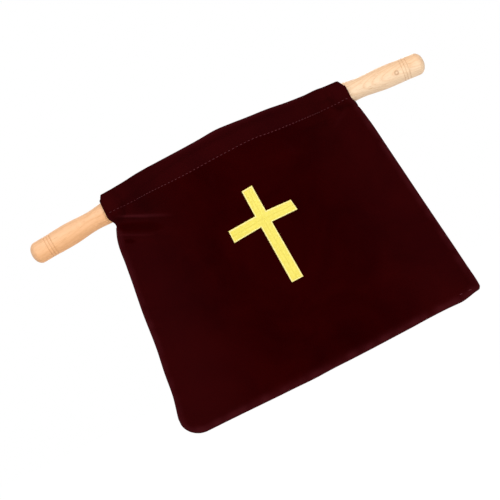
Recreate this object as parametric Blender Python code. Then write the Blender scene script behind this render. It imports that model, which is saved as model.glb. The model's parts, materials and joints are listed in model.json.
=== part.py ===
"""Offertory bag: a velvet bag whose mouth is held by two wire bows between two turned wooden handles.

Metres, +Z up. X runs along the handles, and the front of the bag, with the cross, faces -Y.
The origin is the middle of the flat underside of the bottom seam.
"""

import math

import bmesh
import bpy
from mathutils import Matrix, Vector

# Bag cloth
BAG_HALF_WIDTH = 0.149
MOUTH_HALF_WIDTH = 0.1235
HANDLE_HEIGHT = 0.216
CLOTH = 0.0014
CLEARANCE = 0.0003
CORNER_RADIUS = 0.011
SEAM_ALLOWANCE = 0.009
LEAST_SEAM_RADIUS = 0.0011
SIDE_TOP_INSET = 0.0046
BELLY = 0.28

# Wire bows
WIRE_RADIUS = 0.00175
TANG_LENGTH = 0.018
BOW_LEAD = 0.003
BOW_REACH = 0.057
BOW_BEND_RADIUS = 0.025
BOW_REST_ANGLE = math.radians(10)
BORE_RISE = 0.004

# Hem
HEM_DEPTH = 0.0205
HEM_LEAN = math.radians(13)
HEM_EDGE_FALL = 4
THREAD_RADIUS = 0.0004
THREAD_ABOVE_EDGE = 0.002

# Turned handles, measured outwards from the collar's face
HANDLE_LENGTH = 0.085
HANDLE_DROOP = math.radians(4)
COLLAR_RADIUS = 0.0103
COLLAR_COVER = 0.0115
COLLAR_LENGTH = 0.0063
NECK_RADIUS = 0.0092
NECK_PLACE = 0.021
BARREL_RADIUS = 0.0105
BARREL_PLACE = 0.046
TIP_RADIUS = 0.0101
DOME_LENGTH = 0.0075
GROOVE_COUNT = 3
GROOVE_PITCH = 0.0028
GROOVE_WIDTH = 0.0011
GROOVE_DEPTH = 0.0005
GROOVE_FROM_TIP = 0.0165
EDGE_ROUND = 0.0006

# Hem ends round the collars
HEM_END_CLOTH = 0.0028
HEM_END_REACH_IN = 0.006
HEM_END_HALF_ANGLE = math.radians(86)

# Cross and its backing
CROSS_HEIGHT = 0.0914
CROSS_WIDTH = 0.062
CROSS_BAR = 0.0112
CROSS_TOP_BELOW_HANDLES = 0.0387
CROSS_ARM_BELOW_TOP = 0.0316
CROSS_THICKNESS = 0.0011
MOTIF_GAP = 0.00045
BACKING_MARGIN = 0.005
BACKING_THICKNESS = 0.0007

# Colours as linear red, green and blue
WOOD_COLOUR = (0.84, 0.58, 0.34)
STEEL_COLOUR = (0.6, 0.6, 0.6)
VELVET_COLOUR = (0.035, 0.002, 0.004)
CROSS_COLOUR = (0.93, 0.78, 0.15)
THREAD_COLOUR = (0.12, 0.01, 0.02)
BACKING_COLOUR = (0.75, 0.73, 0.7)

# How matt each finish is
WAXED_ROUGHNESS = 0.45
DRAWN_ROUGHNESS = 0.3
PILE_ROUGHNESS = 0.9
SATIN_ROUGHNESS = 0.5
THREAD_ROUGHNESS = 0.7
PAPER_ROUGHNESS = 0.9

# Mesh density
TURNED_STEPS = 32
BORE_STEPS = 16
BEND_STEPS = 5
ARC_STEPS = 20
HEAD_STEPS = 8
PANEL_COLUMNS = 28
PANEL_ROWS = 12
CURVE_STEPS = 6
MOTIF_STEPS = 3
BACKING_STEPS = 6
WIRE_RESOLUTION = 3
THREAD_RESOLUTION = 1
SMOOTH_ANGLE = math.radians(40)
TURNED_SMOOTH_ANGLE = math.radians(30)

# How a place on the panel is found: the share over which its slope is measured, and the tries
SLOPE_STEP = 0.01
PLACE_TRIES = 12
AXIS_DISPLAY_SIZE = 0.02

COLLAR_FACE = MOUTH_HALF_WIDTH - COLLAR_COVER
BOW_HALF_SPAN = COLLAR_FACE - BOW_LEAD
BOW_TURN = 2 * math.atan2(BOW_REACH, BOW_HALF_SPAN)
BOW_ARC_RADIUS = BOW_HALF_SPAN / math.sin(BOW_TURN) - BOW_BEND_RADIUS
BORE_RADIUS = WIRE_RADIUS + CLEARANCE
HEM_HEAD_RADIUS = BORE_RADIUS + CLOTH
HINGE_OFFSET = HEM_HEAD_RADIUS + CLEARANCE / 2
HINGE_HEIGHT = HANDLE_HEIGHT + BORE_RISE
HEM_END_INNER = COLLAR_RADIUS + CLEARANCE
HEM_END_OUTER = HEM_END_INNER + HEM_END_CLOTH
HEM_END_INSIDE = COLLAR_FACE - HEM_END_REACH_IN
HEM_HALF_LENGTH = HEM_END_INSIDE - HEM_END_OUTER * math.sin(HANDLE_DROOP) - CLEARANCE
SEAM_HALF = 2 * CLOTH
PANEL_EDGE_DEPTH = SEAM_HALF + CLEARANCE + CLOTH
DROP_AT_MOUTH = (MOUTH_HALF_WIDTH - COLLAR_FACE) * math.tan(HANDLE_DROOP)
SIDE_TOP = HANDLE_HEIGHT - HEM_END_OUTER - DROP_AT_MOUTH - CLEARANCE
SIDE_TOP_HALF_WIDTH = MOUTH_HALF_WIDTH - SIDE_TOP_INSET


def clear_scene():
    for item in list(bpy.data.objects):
        bpy.data.objects.remove(item, do_unlink=True)


def material(name, colour, roughness, metallic=0.0):
    made = bpy.data.materials.new(name)
    made.use_nodes = True
    shader = made.node_tree.nodes["Principled BSDF"]
    shader.inputs["Base Color"].default_value = (*colour, 1.0)
    shader.inputs["Roughness"].default_value = roughness
    shader.inputs["Metallic"].default_value = metallic
    made.diffuse_color = (*colour, 1.0)
    return made


def add_object(name, data, look):
    made = bpy.data.objects.new(name, data)
    bpy.context.scene.collection.objects.link(made)
    if look is not None and not data.materials:
        data.materials.append(look)
    return made


def add_axis(name, location, rotation):
    made = bpy.data.objects.new(name, None)
    made.empty_display_size = AXIS_DISPLAY_SIZE
    made.location = location
    made.rotation_euler = rotation
    bpy.context.scene.collection.objects.link(made)
    return made


def finish_mesh(name, bm, smooth_angle=SMOOTH_ANGLE):
    bmesh.ops.recalc_face_normals(bm, faces=bm.faces)
    mesh = bpy.data.meshes.new(name)
    bm.to_mesh(mesh)
    bm.free()
    mesh.shade_smooth()
    mesh.set_sharp_from_angle(angle=smooth_angle)
    return mesh


def loft(bm, rings):
    """Joins rings of points, each closed on itself, into one skin with open ends."""
    made = [[bm.verts.new(point) for point in ring] for ring in rings]
    count = len(made[0])
    for near, far in zip(made, made[1:]):
        for i in range(count):
            j = (i + 1) % count
            bm.faces.new((near[i], near[j], far[j], far[i]))
    return made


def ease(share):
    """Goes from 0 to 1 with a level start and end."""
    share = min(max(share, 0.0), 1.0)
    return 0.5 - 0.5 * math.cos(math.pi * share)


def bow_reach_at(x):
    """How far the bow stands out from its hinge line, in its own plane."""
    along = abs(x)
    bend_start = BOW_HALF_SPAN - BOW_BEND_RADIUS * math.sin(BOW_TURN)
    if along >= BOW_HALF_SPAN:
        return 0.0
    if along >= bend_start:
        run = BOW_HALF_SPAN - along
        return BOW_BEND_RADIUS - math.sqrt(BOW_BEND_RADIUS**2 - run**2)
    return BOW_REACH - BOW_ARC_RADIUS + math.sqrt(BOW_ARC_RADIUS**2 - along**2)


def bow_stations():
    """Places along one bow between its straight leads: x, and the tangent's turn out of X."""
    places = []
    for i in range(1, BEND_STEPS + 1):
        turn = BOW_TURN * i / BEND_STEPS
        places.append((-BOW_HALF_SPAN + BOW_BEND_RADIUS * math.sin(turn), turn))
    for i in range(1, ARC_STEPS):
        turn = BOW_TURN * (1 - 2 * i / ARC_STEPS)
        places.append((-BOW_ARC_RADIUS * math.sin(turn), turn))
    for i in range(BEND_STEPS, 0, -1):
        turn = BOW_TURN * i / BEND_STEPS
        places.append((BOW_HALF_SPAN - BOW_BEND_RADIUS * math.sin(turn), -turn))
    return places


def bow_point(x):
    return Vector((x, -bow_reach_at(x), 0.0))


def bow_to_world(point):
    """Takes a point of the bow's own plane to the front bow's place at rest."""
    hinge = Vector((0.0, -HINGE_OFFSET, HINGE_HEIGHT))
    return Matrix.Rotation(-BOW_REST_ANGLE, 3, "X") @ point + hinge


def hem_edge_height(x):
    """Height of the hem's lower edge, level in the middle and lower at the hem ends."""
    middle = bow_to_world(bow_point(0.0)).z + HEM_HEAD_RADIUS - HEM_DEPTH
    share = min(abs(x) / HEM_HALF_LENGTH, 1.0)
    end = SIDE_TOP + CLEARANCE + CLOTH
    return middle + (end - middle) * share**HEM_EDGE_FALL


def hem_lean_at(x):
    """The hem leans in with the bag's side: most in the middle, and not at the ends."""
    return HEM_LEAN * bow_reach_at(x) / BOW_REACH


def hem_drop_at(x):
    """From the wire's middle to the hem's lower edge, in the bow's own plane."""
    lean = hem_lean_at(x)
    length = (bow_to_world(bow_point(x)).z - hem_edge_height(x)) / math.cos(lean)
    hang = Vector((0.0, math.sin(lean), -math.cos(lean))) * length
    return Matrix.Rotation(BOW_REST_ANGLE, 3, "X") @ hang


def wire_mesh():
    """The bow's wire: one round bar from tang to tang."""
    end = COLLAR_FACE + TANG_LENGTH
    points = [Vector((-end, 0.0, 0.0)), bow_point(-BOW_HALF_SPAN)]
    points += [bow_point(x) for x, _ in bow_stations()]
    points += [bow_point(BOW_HALF_SPAN), Vector((end, 0.0, 0.0))]
    curve = bpy.data.curves.new("bow_wire", "CURVE")
    curve.dimensions = "3D"
    curve.bevel_depth = WIRE_RADIUS
    curve.bevel_resolution = WIRE_RESOLUTION
    curve.use_fill_caps = True
    spline = curve.splines.new("POLY")
    spline.points.add(len(points) - 1)
    for target, point in zip(spline.points, points):
        target.co = (*point, 1.0)
    return curve


def hem_sections():
    """Stations of the hem sleeve: x, the head's side and down directions, and the way to the lower edge."""
    stations = [(-HEM_HALF_LENGTH, 0.0)]
    stations += [item for item in bow_stations() if abs(item[0]) < HEM_HALF_LENGTH]
    stations += [(HEM_HALF_LENGTH, 0.0)]
    sections = []
    for x, turn in stations:
        if abs(x) == HEM_HALF_LENGTH:
            run = max(BOW_HALF_SPAN - abs(x), 0.0)
            turn = math.copysign(math.asin(run / BOW_BEND_RADIUS), -x)
        tangent = Vector((math.cos(turn), -math.sin(turn), 0.0))
        drop = hem_drop_at(x)
        down = (drop - drop.dot(tangent) * tangent).normalized()
        side = tangent.cross(down)
        sections.append((x, side, down, drop))
    return sections


def sleeve_mesh():
    """The hem's cloth: folded over the wire in a round head, with both layers flat below it."""
    bm = bmesh.new()
    outer = []
    inner = []
    tail = math.asin(CLOTH / HEM_HEAD_RADIUS)
    for x, side, down, drop in hem_sections():
        centre = bow_point(x)
        angles = [tail + (math.tau - 2 * tail) * i / HEAD_STEPS for i in range(HEAD_STEPS + 1)]
        head = [centre + HEM_HEAD_RADIUS * (math.cos(a) * down + math.sin(a) * side) for a in angles]
        lower = [centre + drop - CLOTH * side, centre + drop + CLOTH * side]
        outer.append(head + lower)
        count = len(head) + len(lower)
        shift = 1 - (len(lower) + 1) / 2
        turns = [tail + math.tau * (i + 1 - shift) / count for i in range(count)]
        inner.append([centre + BORE_RADIUS * (math.cos(a) * down + math.sin(a) * side) for a in turns])
    skin = loft(bm, outer)
    bore = loft(bm, inner)
    for end in (0, -1):
        ring = skin[end]
        hole = bore[end]
        for i in range(len(ring)):
            j = (i + 1) % len(ring)
            bm.faces.new((ring[i], ring[j], hole[j], hole[i]))
    return finish_mesh("hem_sleeve", bm)


def stitch_curve():
    """One row of thread on the hem's outer face, a little above its lower edge."""
    points = []
    for x, side, _, drop in hem_sections():
        outward = -side if side.y > 0 else side
        share = 1 - THREAD_ABOVE_EDGE / drop.length
        proud = CLOTH + CLEARANCE + THREAD_RADIUS
        points.append(bow_point(x) + drop * share + proud * outward)
    curve = bpy.data.curves.new("hem_thread", "CURVE")
    curve.dimensions = "3D"
    curve.bevel_depth = THREAD_RADIUS
    curve.bevel_resolution = THREAD_RESOLUTION
    curve.use_fill_caps = True
    spline = curve.splines.new("POLY")
    spline.points.add(len(points) - 1)
    for target, point in zip(spline.points, points):
        target.co = (*point, 1.0)
    return curve


def panel_point(across, up):
    """A point of the front panel's outer face: across from -1 to 1, up from 0 to 1."""
    top_x = across * SIDE_TOP_HALF_WIDTH
    low_x = across * BAG_HALF_WIDTH
    past = max(abs(low_x) - (BAG_HALF_WIDTH - CORNER_RADIUS), 0.0)
    low_z = CORNER_RADIUS - math.sqrt(max(CORNER_RADIUS**2 - past**2, 0.0))
    if abs(top_x) < HEM_HALF_LENGTH:
        top_z = hem_edge_height(top_x) - 2 * CLEARANCE
        reach = bow_reach_at(top_x)
        wire = bow_to_world(Vector((top_x, -reach, 0.0)))
        top_y = wire.y + (wire.z - top_z) * math.tan(hem_lean_at(top_x)) - CLOTH
        top_y = min(top_y, -PANEL_EDGE_DEPTH)
    else:
        top_z = SIDE_TOP
        top_y = -PANEL_EDGE_DEPTH
    low_z += CLEARANCE
    x = low_x + (top_x - low_x) * up
    z = low_z + (top_z - low_z) * up
    depth = up * (1 + BELLY * (1 - up))
    y = -PANEL_EDGE_DEPTH + (top_y + PANEL_EDGE_DEPTH) * depth
    return Vector((x, y, z))


def panel_place(x, z):
    """The across and up values of the front panel's point at x and z."""
    across = x / BAG_HALF_WIDTH
    up = z / HANDLE_HEIGHT
    for _ in range(PLACE_TRIES):
        here = panel_point(across, up)
        width = BAG_HALF_WIDTH + (SIDE_TOP_HALF_WIDTH - BAG_HALF_WIDTH) * up
        across += (x - here.x) / width
        up += (z - here.z) / HANDLE_HEIGHT
    return across, up


def panel_outward(across, up):
    along = panel_point(across + SLOPE_STEP, up) - panel_point(across - SLOPE_STEP, up)
    rise = panel_point(across, up + SLOPE_STEP) - panel_point(across, up - SLOPE_STEP)
    return along.cross(rise).normalized()


def grid_mesh(name, columns, rows, place):
    bm = bmesh.new()
    grid = []
    for j in range(rows + 1):
        grid.append([bm.verts.new(place(i / columns, j / rows)) for i in range(columns + 1)])
    for low, high in zip(grid, grid[1:]):
        for i in range(columns):
            bm.faces.new((low[i], low[i + 1], high[i + 1], high[i]))
    mesh = bpy.data.meshes.new(name)
    bm.to_mesh(mesh)
    bm.free()
    mesh.shade_smooth()
    return mesh


def add_thickness(item, depth):
    """Thickens a sheet inwards from its outer face."""
    solid = item.modifiers.new("Thickness", "SOLIDIFY")
    solid.thickness = depth
    solid.offset = -1.0
    solid.use_even_offset = True


def panel_mesh():
    return grid_mesh("panel", PANEL_COLUMNS, PANEL_ROWS, lambda i, j: panel_point(2 * i - 1, j))


def strip_mesh(name, line, half_depth):
    """A flat bar of seam allowances: each item of line is an outer point and its inner point, in XZ."""
    bm = bmesh.new()
    rings = []
    for outer, inner in line:
        rings.append([
            Vector((outer[0], -half_depth, outer[1])),
            Vector((outer[0], half_depth, outer[1])),
            Vector((inner[0], half_depth, inner[1])),
            Vector((inner[0], -half_depth, inner[1])),
        ])
    made = loft(bm, rings)
    bm.faces.new(made[0])
    bm.faces.new(made[-1])
    return finish_mesh(name, bm)


def bottom_seam_mesh():
    """The bottom seam's allowances, with a rounded corner at each end and a flat underside."""
    inner_radius = max(CORNER_RADIUS - SEAM_ALLOWANCE, LEAST_SEAM_RADIUS)
    middle_x = BAG_HALF_WIDTH - CORNER_RADIUS
    line = []
    for i in range(CURVE_STEPS + 1):
        turn = math.pi / 2 * i / CURVE_STEPS
        outer = (middle_x + CORNER_RADIUS * math.cos(turn), CORNER_RADIUS - CORNER_RADIUS * math.sin(turn))
        inner = (middle_x + inner_radius * math.cos(turn), CORNER_RADIUS - inner_radius * math.sin(turn))
        line.append((outer, inner))
    mirrored = [((-outer[0], outer[1]), (-inner[0], inner[1])) for outer, inner in reversed(line)]
    return strip_mesh("bottom_seam", line + mirrored, SEAM_HALF)


def side_seam_mesh():
    """The allowances of one side seam, from the bottom corner up to the hem ends."""
    line = []
    for x, z in ((BAG_HALF_WIDTH, CORNER_RADIUS + CLEARANCE), (SIDE_TOP_HALF_WIDTH, SIDE_TOP)):
        line.append(((x, z), (x - SEAM_ALLOWANCE, z)))
    return strip_mesh("side_seam", line, SEAM_HALF)


def handle_profile():
    """The handle's radius at places along its axis, from the collar's face to the tip."""
    points = [(0.0, COLLAR_RADIUS - EDGE_ROUND), (EDGE_ROUND, COLLAR_RADIUS)]
    for i in range(CURVE_STEPS + 1):
        share = i / CURVE_STEPS
        place = COLLAR_LENGTH + (NECK_PLACE - COLLAR_LENGTH) * share
        points.append((place, COLLAR_RADIUS + (NECK_RADIUS - COLLAR_RADIUS) * ease(share)))
    for i in range(1, CURVE_STEPS + 1):
        share = i / CURVE_STEPS
        place = NECK_PLACE + (BARREL_PLACE - NECK_PLACE) * share
        points.append((place, NECK_RADIUS + (BARREL_RADIUS - NECK_RADIUS) * ease(share)))
    first_groove = HANDLE_LENGTH - GROOVE_FROM_TIP - (GROOVE_COUNT - 1) * GROOVE_PITCH
    for i in range(GROOVE_COUNT):
        place = first_groove + i * GROOVE_PITCH
        points.append((place - GROOVE_WIDTH / 2, TIP_RADIUS))
        points.append((place, TIP_RADIUS - GROOVE_DEPTH))
        points.append((place + GROOVE_WIDTH / 2, TIP_RADIUS))
    dome_start = HANDLE_LENGTH - DOME_LENGTH
    for i in range(CURVE_STEPS):
        turn = math.pi / 2 * i / CURVE_STEPS
        points.append((dome_start + DOME_LENGTH * math.sin(turn), TIP_RADIUS * math.cos(turn)))
    return points


def handle_mesh():
    """The turned handle, along its own +X."""
    bm = bmesh.new()
    rings = []
    for place, radius in handle_profile():
        ring = []
        for i in range(TURNED_STEPS):
            turn = math.tau * i / TURNED_STEPS
            ring.append(Vector((place, radius * math.cos(turn), radius * math.sin(turn))))
        rings.append(ring)
    made = loft(bm, rings)
    bm.faces.new(made[0])
    tip = bm.verts.new((HANDLE_LENGTH, 0.0, 0.0))
    last = made[-1]
    for i in range(TURNED_STEPS):
        bm.faces.new((last[i], last[(i + 1) % TURNED_STEPS], tip))
    return finish_mesh("turned_handle", bm, TURNED_SMOOTH_ANGLE)


def add_bore_cutter(name, y):
    """A long cutter on one hinge line, which ends at the floor of both handles' blind bores."""
    depth = 2 * (COLLAR_FACE + TANG_LENGTH + CLEARANCE)
    bm = bmesh.new()
    turned = Matrix.Rotation(math.pi / 2, 4, "Y")
    bmesh.ops.create_cone(
        bm,
        cap_ends=True,
        segments=BORE_STEPS,
        radius1=BORE_RADIUS,
        radius2=BORE_RADIUS,
        depth=depth,
        matrix=turned,
    )
    mesh = bpy.data.meshes.new(name)
    bm.to_mesh(mesh)
    bm.free()
    cutter = add_object(name, mesh, None)
    cutter.location = (0.0, y, HINGE_HEIGHT)
    cutter.hide_render = True
    cutter.display_type = "WIRE"
    return cutter


def hem_end_mesh():
    """Half of a hem end: cloth round one half of the collar, in the handle's own frame, facing -Y."""
    bm = bmesh.new()
    rings = []
    steps = 2 * CURVE_STEPS
    for i in range(steps + 1):
        turn = -HEM_END_HALF_ANGLE + 2 * HEM_END_HALF_ANGLE * i / steps
        out = Vector((0.0, -math.cos(turn), math.sin(turn)))
        inner = out * HEM_END_INNER / math.cos(HEM_END_HALF_ANGLE / steps)
        outer = out * HEM_END_OUTER
        near = Vector((-HEM_END_REACH_IN, 0.0, 0.0))
        far = Vector((COLLAR_COVER, 0.0, 0.0))
        rings.append([near + inner, far + inner, far + outer, near + outer])
    made = loft(bm, rings)
    bm.faces.new(made[0])
    bm.faces.new(made[-1])
    return finish_mesh("hem_end", bm)


def cross_cells():
    """The rectangles that make up the cross, in x and z: left, right, low, high."""
    top = HANDLE_HEIGHT - CROSS_TOP_BELOW_HANDLES
    low = top - CROSS_HEIGHT
    arm = top - CROSS_ARM_BELOW_TOP
    half = CROSS_BAR / 2
    wide = CROSS_WIDTH / 2
    columns = [-wide, -half, half, wide]
    rows = [low, arm - half, arm + half, top]
    return columns, rows


def split(values, steps):
    out = []
    for near, far in zip(values, values[1:]):
        out += [near + (far - near) * i / steps for i in range(steps)]
    return out + [values[-1]]


def on_front(x, z, proud):
    across, up = panel_place(x, z)
    return panel_point(across, up) + panel_outward(across, up) * proud


def cross_mesh():
    """The satin-stitch cross, raised from the front panel and following its curve."""
    columns, rows = cross_cells()
    half = CROSS_BAR / 2
    arm_low, arm_high = rows[1:3]
    xs = split(columns, MOTIF_STEPS)
    zs = split(rows, MOTIF_STEPS)
    bm = bmesh.new()
    verts = {}

    def vert(i, j, layer):
        key = (i, j, layer)
        if key not in verts:
            proud = MOTIF_GAP + layer * CROSS_THICKNESS
            verts[key] = bm.verts.new(on_front(xs[i], zs[j], proud))
        return verts[key]

    cells = set()
    for i in range(len(xs) - 1):
        for j in range(len(zs) - 1):
            x = (xs[i] + xs[i + 1]) / 2
            z = (zs[j] + zs[j + 1]) / 2
            if abs(x) < half or arm_low < z < arm_high:
                cells.add((i, j))
    for i, j in sorted(cells):
        corners = [(i, j), (i + 1, j), (i + 1, j + 1), (i, j + 1)]
        neighbours = [(i, j - 1), (i + 1, j), (i, j + 1), (i - 1, j)]
        for layer in (0, 1):
            bm.faces.new([vert(*corner, layer) for corner in corners])
        for start, end, neighbour in zip(corners, corners[1:] + corners[:1], neighbours):
            if neighbour not in cells:
                bm.faces.new((vert(*start, 0), vert(*end, 0), vert(*end, 1), vert(*start, 1)))
    return finish_mesh("cross", bm)


def backing_mesh():
    """The thin backing sheet behind the cross, on the inside of the front panel."""
    columns, rows = cross_cells()
    left = columns[0] - BACKING_MARGIN
    right = columns[-1] + BACKING_MARGIN
    low = rows[0] - BACKING_MARGIN
    high = rows[-1] + BACKING_MARGIN
    proud = -(CLOTH + MOTIF_GAP)

    def place(i, j):
        return on_front(left + (right - left) * i, low + (high - low) * j, proud)

    return grid_mesh("backing", BACKING_STEPS, BACKING_STEPS, place)


def build_handles(wood, cutters):
    mesh = handle_mesh()
    places = {"left": (-COLLAR_FACE, math.pi), "right": (COLLAR_FACE, 0.0)}
    for side, (x, turn) in places.items():
        handle = add_object(f"{side}_handle", mesh, wood)
        handle.location = (x, 0.0, HANDLE_HEIGHT)
        handle.rotation_euler = (0.0, HANDLE_DROOP, turn)
        for cutter in cutters:
            bore = handle.modifiers.new("Bore", "BOOLEAN")
            bore.operation = "DIFFERENCE"
            bore.solver = "EXACT"
            bore.object = cutter


def build_hem_ends(velvet):
    mesh = hem_end_mesh()
    for side, x, turn in (("left", -COLLAR_FACE, math.pi), ("right", COLLAR_FACE, 0.0)):
        for face in ("front", "back"):
            facing_front = (face == "front") == (side == "right")
            made = add_object(f"{side}_{face}_hem_end", mesh, velvet)
            made.location = (x, 0.0, HANDLE_HEIGHT)
            half_turn = 0.0 if facing_front else math.pi
            tilt = Matrix.Rotation(turn, 3, "Z") @ Matrix.Rotation(HANDLE_DROOP, 3, "Y")
            made.rotation_euler = (tilt @ Matrix.Rotation(half_turn, 3, "X")).to_euler()


def build_bows(steel, velvet, thread):
    wire = wire_mesh()
    sleeve = sleeve_mesh()
    stitches = stitch_curve()
    for face, turn, y in (("front", 0.0, -HINGE_OFFSET), ("back", math.pi, HINGE_OFFSET)):
        axis = add_axis(f"{face}_bow_axis", (0.0, y, HINGE_HEIGHT), (-BOW_REST_ANGLE, 0.0, turn))
        pieces = [
            add_object(f"{face}_bow_wire", wire, steel),
            add_object(f"{face}_hem_sleeve", sleeve, velvet),
            add_object(f"{face}_hem_stitching", stitches, thread),
        ]
        for piece in pieces:
            piece.parent = axis


def build_panels(velvet):
    mesh = panel_mesh()
    for face, turn in (("front", 0.0), ("back", math.pi)):
        made = add_object(f"{face}_panel", mesh, velvet)
        made.rotation_euler = (0.0, 0.0, turn)
        add_thickness(made, CLOTH)


def build_seams(velvet):
    add_object("bottom_seam", bottom_seam_mesh(), velvet)
    mesh = side_seam_mesh()
    for side, turn in (("left", math.pi), ("right", 0.0)):
        made = add_object(f"{side}_side_seam", mesh, velvet)
        made.rotation_euler = (0.0, 0.0, turn)


def build_cross(yellow, paper):
    add_object("cross_embroidery", cross_mesh(), yellow)
    backing = add_object("cross_backing", backing_mesh(), paper)
    add_thickness(backing, BACKING_THICKNESS)


def main():
    clear_scene()
    wood = material("pale_turned_wood", WOOD_COLOUR, WAXED_ROUGHNESS)
    steel = material("bright_steel_wire", STEEL_COLOUR, DRAWN_ROUGHNESS, metallic=1.0)
    velvet = material("burgundy_velvet", VELVET_COLOUR, PILE_ROUGHNESS)
    yellow = material("yellow_satin_stitch", CROSS_COLOUR, SATIN_ROUGHNESS)
    thread = material("red_hem_thread", THREAD_COLOUR, THREAD_ROUGHNESS)
    paper = material("embroidery_backing", BACKING_COLOUR, PAPER_ROUGHNESS)
    cutters = []
    for face, y in (("front", -HINGE_OFFSET), ("back", HINGE_OFFSET)):
        cutters.append(add_bore_cutter(f"{face}_bore_cutter", y))
    build_handles(wood, cutters)
    build_hem_ends(velvet)
    build_bows(steel, velvet, thread)
    build_panels(velvet)
    build_seams(velvet)
    build_cross(yellow, paper)


main()
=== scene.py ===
"""Looks of an offertory bag: velvet shells with a wired hem, a satin-stitch cross and turned handles.

Metres, +Z up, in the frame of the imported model. X runs along the handles and the front faces -Y.
"""

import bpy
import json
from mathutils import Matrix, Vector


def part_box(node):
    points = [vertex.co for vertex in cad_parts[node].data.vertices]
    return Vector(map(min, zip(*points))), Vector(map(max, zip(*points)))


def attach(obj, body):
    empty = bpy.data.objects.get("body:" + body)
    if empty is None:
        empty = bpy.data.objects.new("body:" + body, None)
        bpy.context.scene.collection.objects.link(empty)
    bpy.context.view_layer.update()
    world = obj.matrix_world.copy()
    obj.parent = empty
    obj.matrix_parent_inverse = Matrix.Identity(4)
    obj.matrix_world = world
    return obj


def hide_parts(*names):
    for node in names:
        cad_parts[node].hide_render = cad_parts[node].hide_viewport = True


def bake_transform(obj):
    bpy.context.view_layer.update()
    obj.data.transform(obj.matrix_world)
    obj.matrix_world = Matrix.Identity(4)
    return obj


bl_info = {
    "name": "Offertory bag looks",
    "version": (1, 0, 0),
    "blender": (4, 5, 0),
    "location": "3D View > Sidebar > Offertory bag",
    "description": "Dresses the offertory bag's construction with cloth, thread, wood and light",
    "category": "Object",
}

import json
import math

import bmesh
import bpy
import numpy as np
from bpy.props import FloatProperty, FloatVectorProperty, IntProperty, PointerProperty
from mathutils import Quaternion, Vector, noise

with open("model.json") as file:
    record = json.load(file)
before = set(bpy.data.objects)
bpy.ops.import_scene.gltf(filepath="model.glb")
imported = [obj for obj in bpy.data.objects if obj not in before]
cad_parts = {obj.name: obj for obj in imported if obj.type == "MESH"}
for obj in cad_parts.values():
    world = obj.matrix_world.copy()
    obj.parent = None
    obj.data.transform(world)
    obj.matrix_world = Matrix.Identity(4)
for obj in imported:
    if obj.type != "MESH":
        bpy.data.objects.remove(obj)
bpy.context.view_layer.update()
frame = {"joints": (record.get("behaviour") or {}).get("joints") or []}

# A millimetre, and which way of Y each face and of X each side lies
MM = 0.001
FACES = {"front": -1.0, "back": 1.0}
SIDES = {"left": -1.0, "right": 1.0}

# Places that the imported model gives
HINGE_OUT = abs(frame["joints"][0]["pos_m"][1])
HINGE_HEIGHT = frame["joints"][0]["pos_m"][2]
WIRE_LOW, WIRE_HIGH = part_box("front_bow_wire")
WIRE_END = WIRE_HIGH.x
WIRE_RADIUS = HINGE_HEIGHT - WIRE_LOW.z
BOW_OUT = -WIRE_LOW.y - HINGE_OUT - WIRE_RADIUS
BOW_RISE = WIRE_HIGH.z - HINGE_HEIGHT - WIRE_RADIUS
BOW_REACH = math.hypot(BOW_OUT, BOW_RISE)
SIDE_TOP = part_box("right_side_seam")[1].z

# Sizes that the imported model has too
COLLAR_FACE = 0.112
COLLAR_RADIUS = 0.0103
HANDLE_HEIGHT = 0.216
HANDLE_DROOP = math.radians(4)
HANDLE_LENGTH = 0.085
BORE_CLEARANCE = 0.0003
BOW_BEND_RADIUS = 0.025
BOW_HALF_SPAN = COLLAR_FACE - 0.003
BOW_TURN = 2 * math.atan2(BOW_REACH, BOW_HALF_SPAN)
BOW_ARC_RADIUS = BOW_HALF_SPAN / math.sin(BOW_TURN) - BOW_BEND_RADIUS

# Outlines of the bag seen from the front, as place and value. A pair is for the left and the right side.
SIDE_EDGE = (
    ((0.0, 0.1475), (0.014, 0.1467), (0.042, 0.1408), (0.064, 0.1382), (0.085, 0.135), (0.121, 0.1315),
     (0.15, 0.1276), (0.164, 0.1259), (0.19, 0.1222), (0.2015, 0.1176)),
    ((0.0, 0.151), (0.008, 0.151), (0.03, 0.1484), (0.045, 0.1466), (0.059, 0.1448), (0.1, 0.1395),
     (0.15, 0.1332), (0.185, 0.1286), (0.2015, 0.1254), (0.207, 0.124)),
)
BOTTOM_CORNER = (0.019, 0.0012)
BOTTOM_RISE_START = 0.13
BOTTOM_RISE = 0.0032
BOTTOM_SAG = ((-0.14, 0.0), (-0.09, -0.0005), (-0.06, -0.001), (-0.04, -0.0012), (-0.02, -0.0015),
              (0.0, -0.001), (0.02, -0.001), (0.04, -0.0008), (0.06, -0.0004), (0.08, 0.0), (0.1, 0.0006),
              (0.12, 0.0006), (0.13, 0.0002), (0.14, 0.0))
FOLD_TOP = ((-0.1175, 0.2322), (-0.088, 0.2333), (-0.043, 0.2326), (-0.02, 0.233), (-0.002, 0.2339),
            (0.01, 0.2332), (0.027, 0.2319), (0.045, 0.231), (0.066, 0.2294), (0.082, 0.2292),
            (0.097, 0.2302), (0.105, 0.2295), (0.116, 0.229))
STITCH_LINE = ((-0.107, 0.2138), (-0.082, 0.2133), (-0.05, 0.212), (0.0, 0.2129), (0.026, 0.213),
               (0.04, 0.2115), (0.055, 0.2107), (0.08, 0.2101), (0.098, 0.2105), (0.115, 0.2108))
HEM_END = {"front": (0.1211, 0.1216), "back": (0.1209, 0.1255)}
HEM_END_FADE = 0.009
# How far a hem's top corner comes down at its end, and along what stretch
CORNER_FALL = {"front": (0.0048, 0.0075), "back": (0.0048, 0.007)}
CORNER_RUN = {"front": (0.0036, 0.0045), "back": (0.0036, 0.007)}

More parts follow.
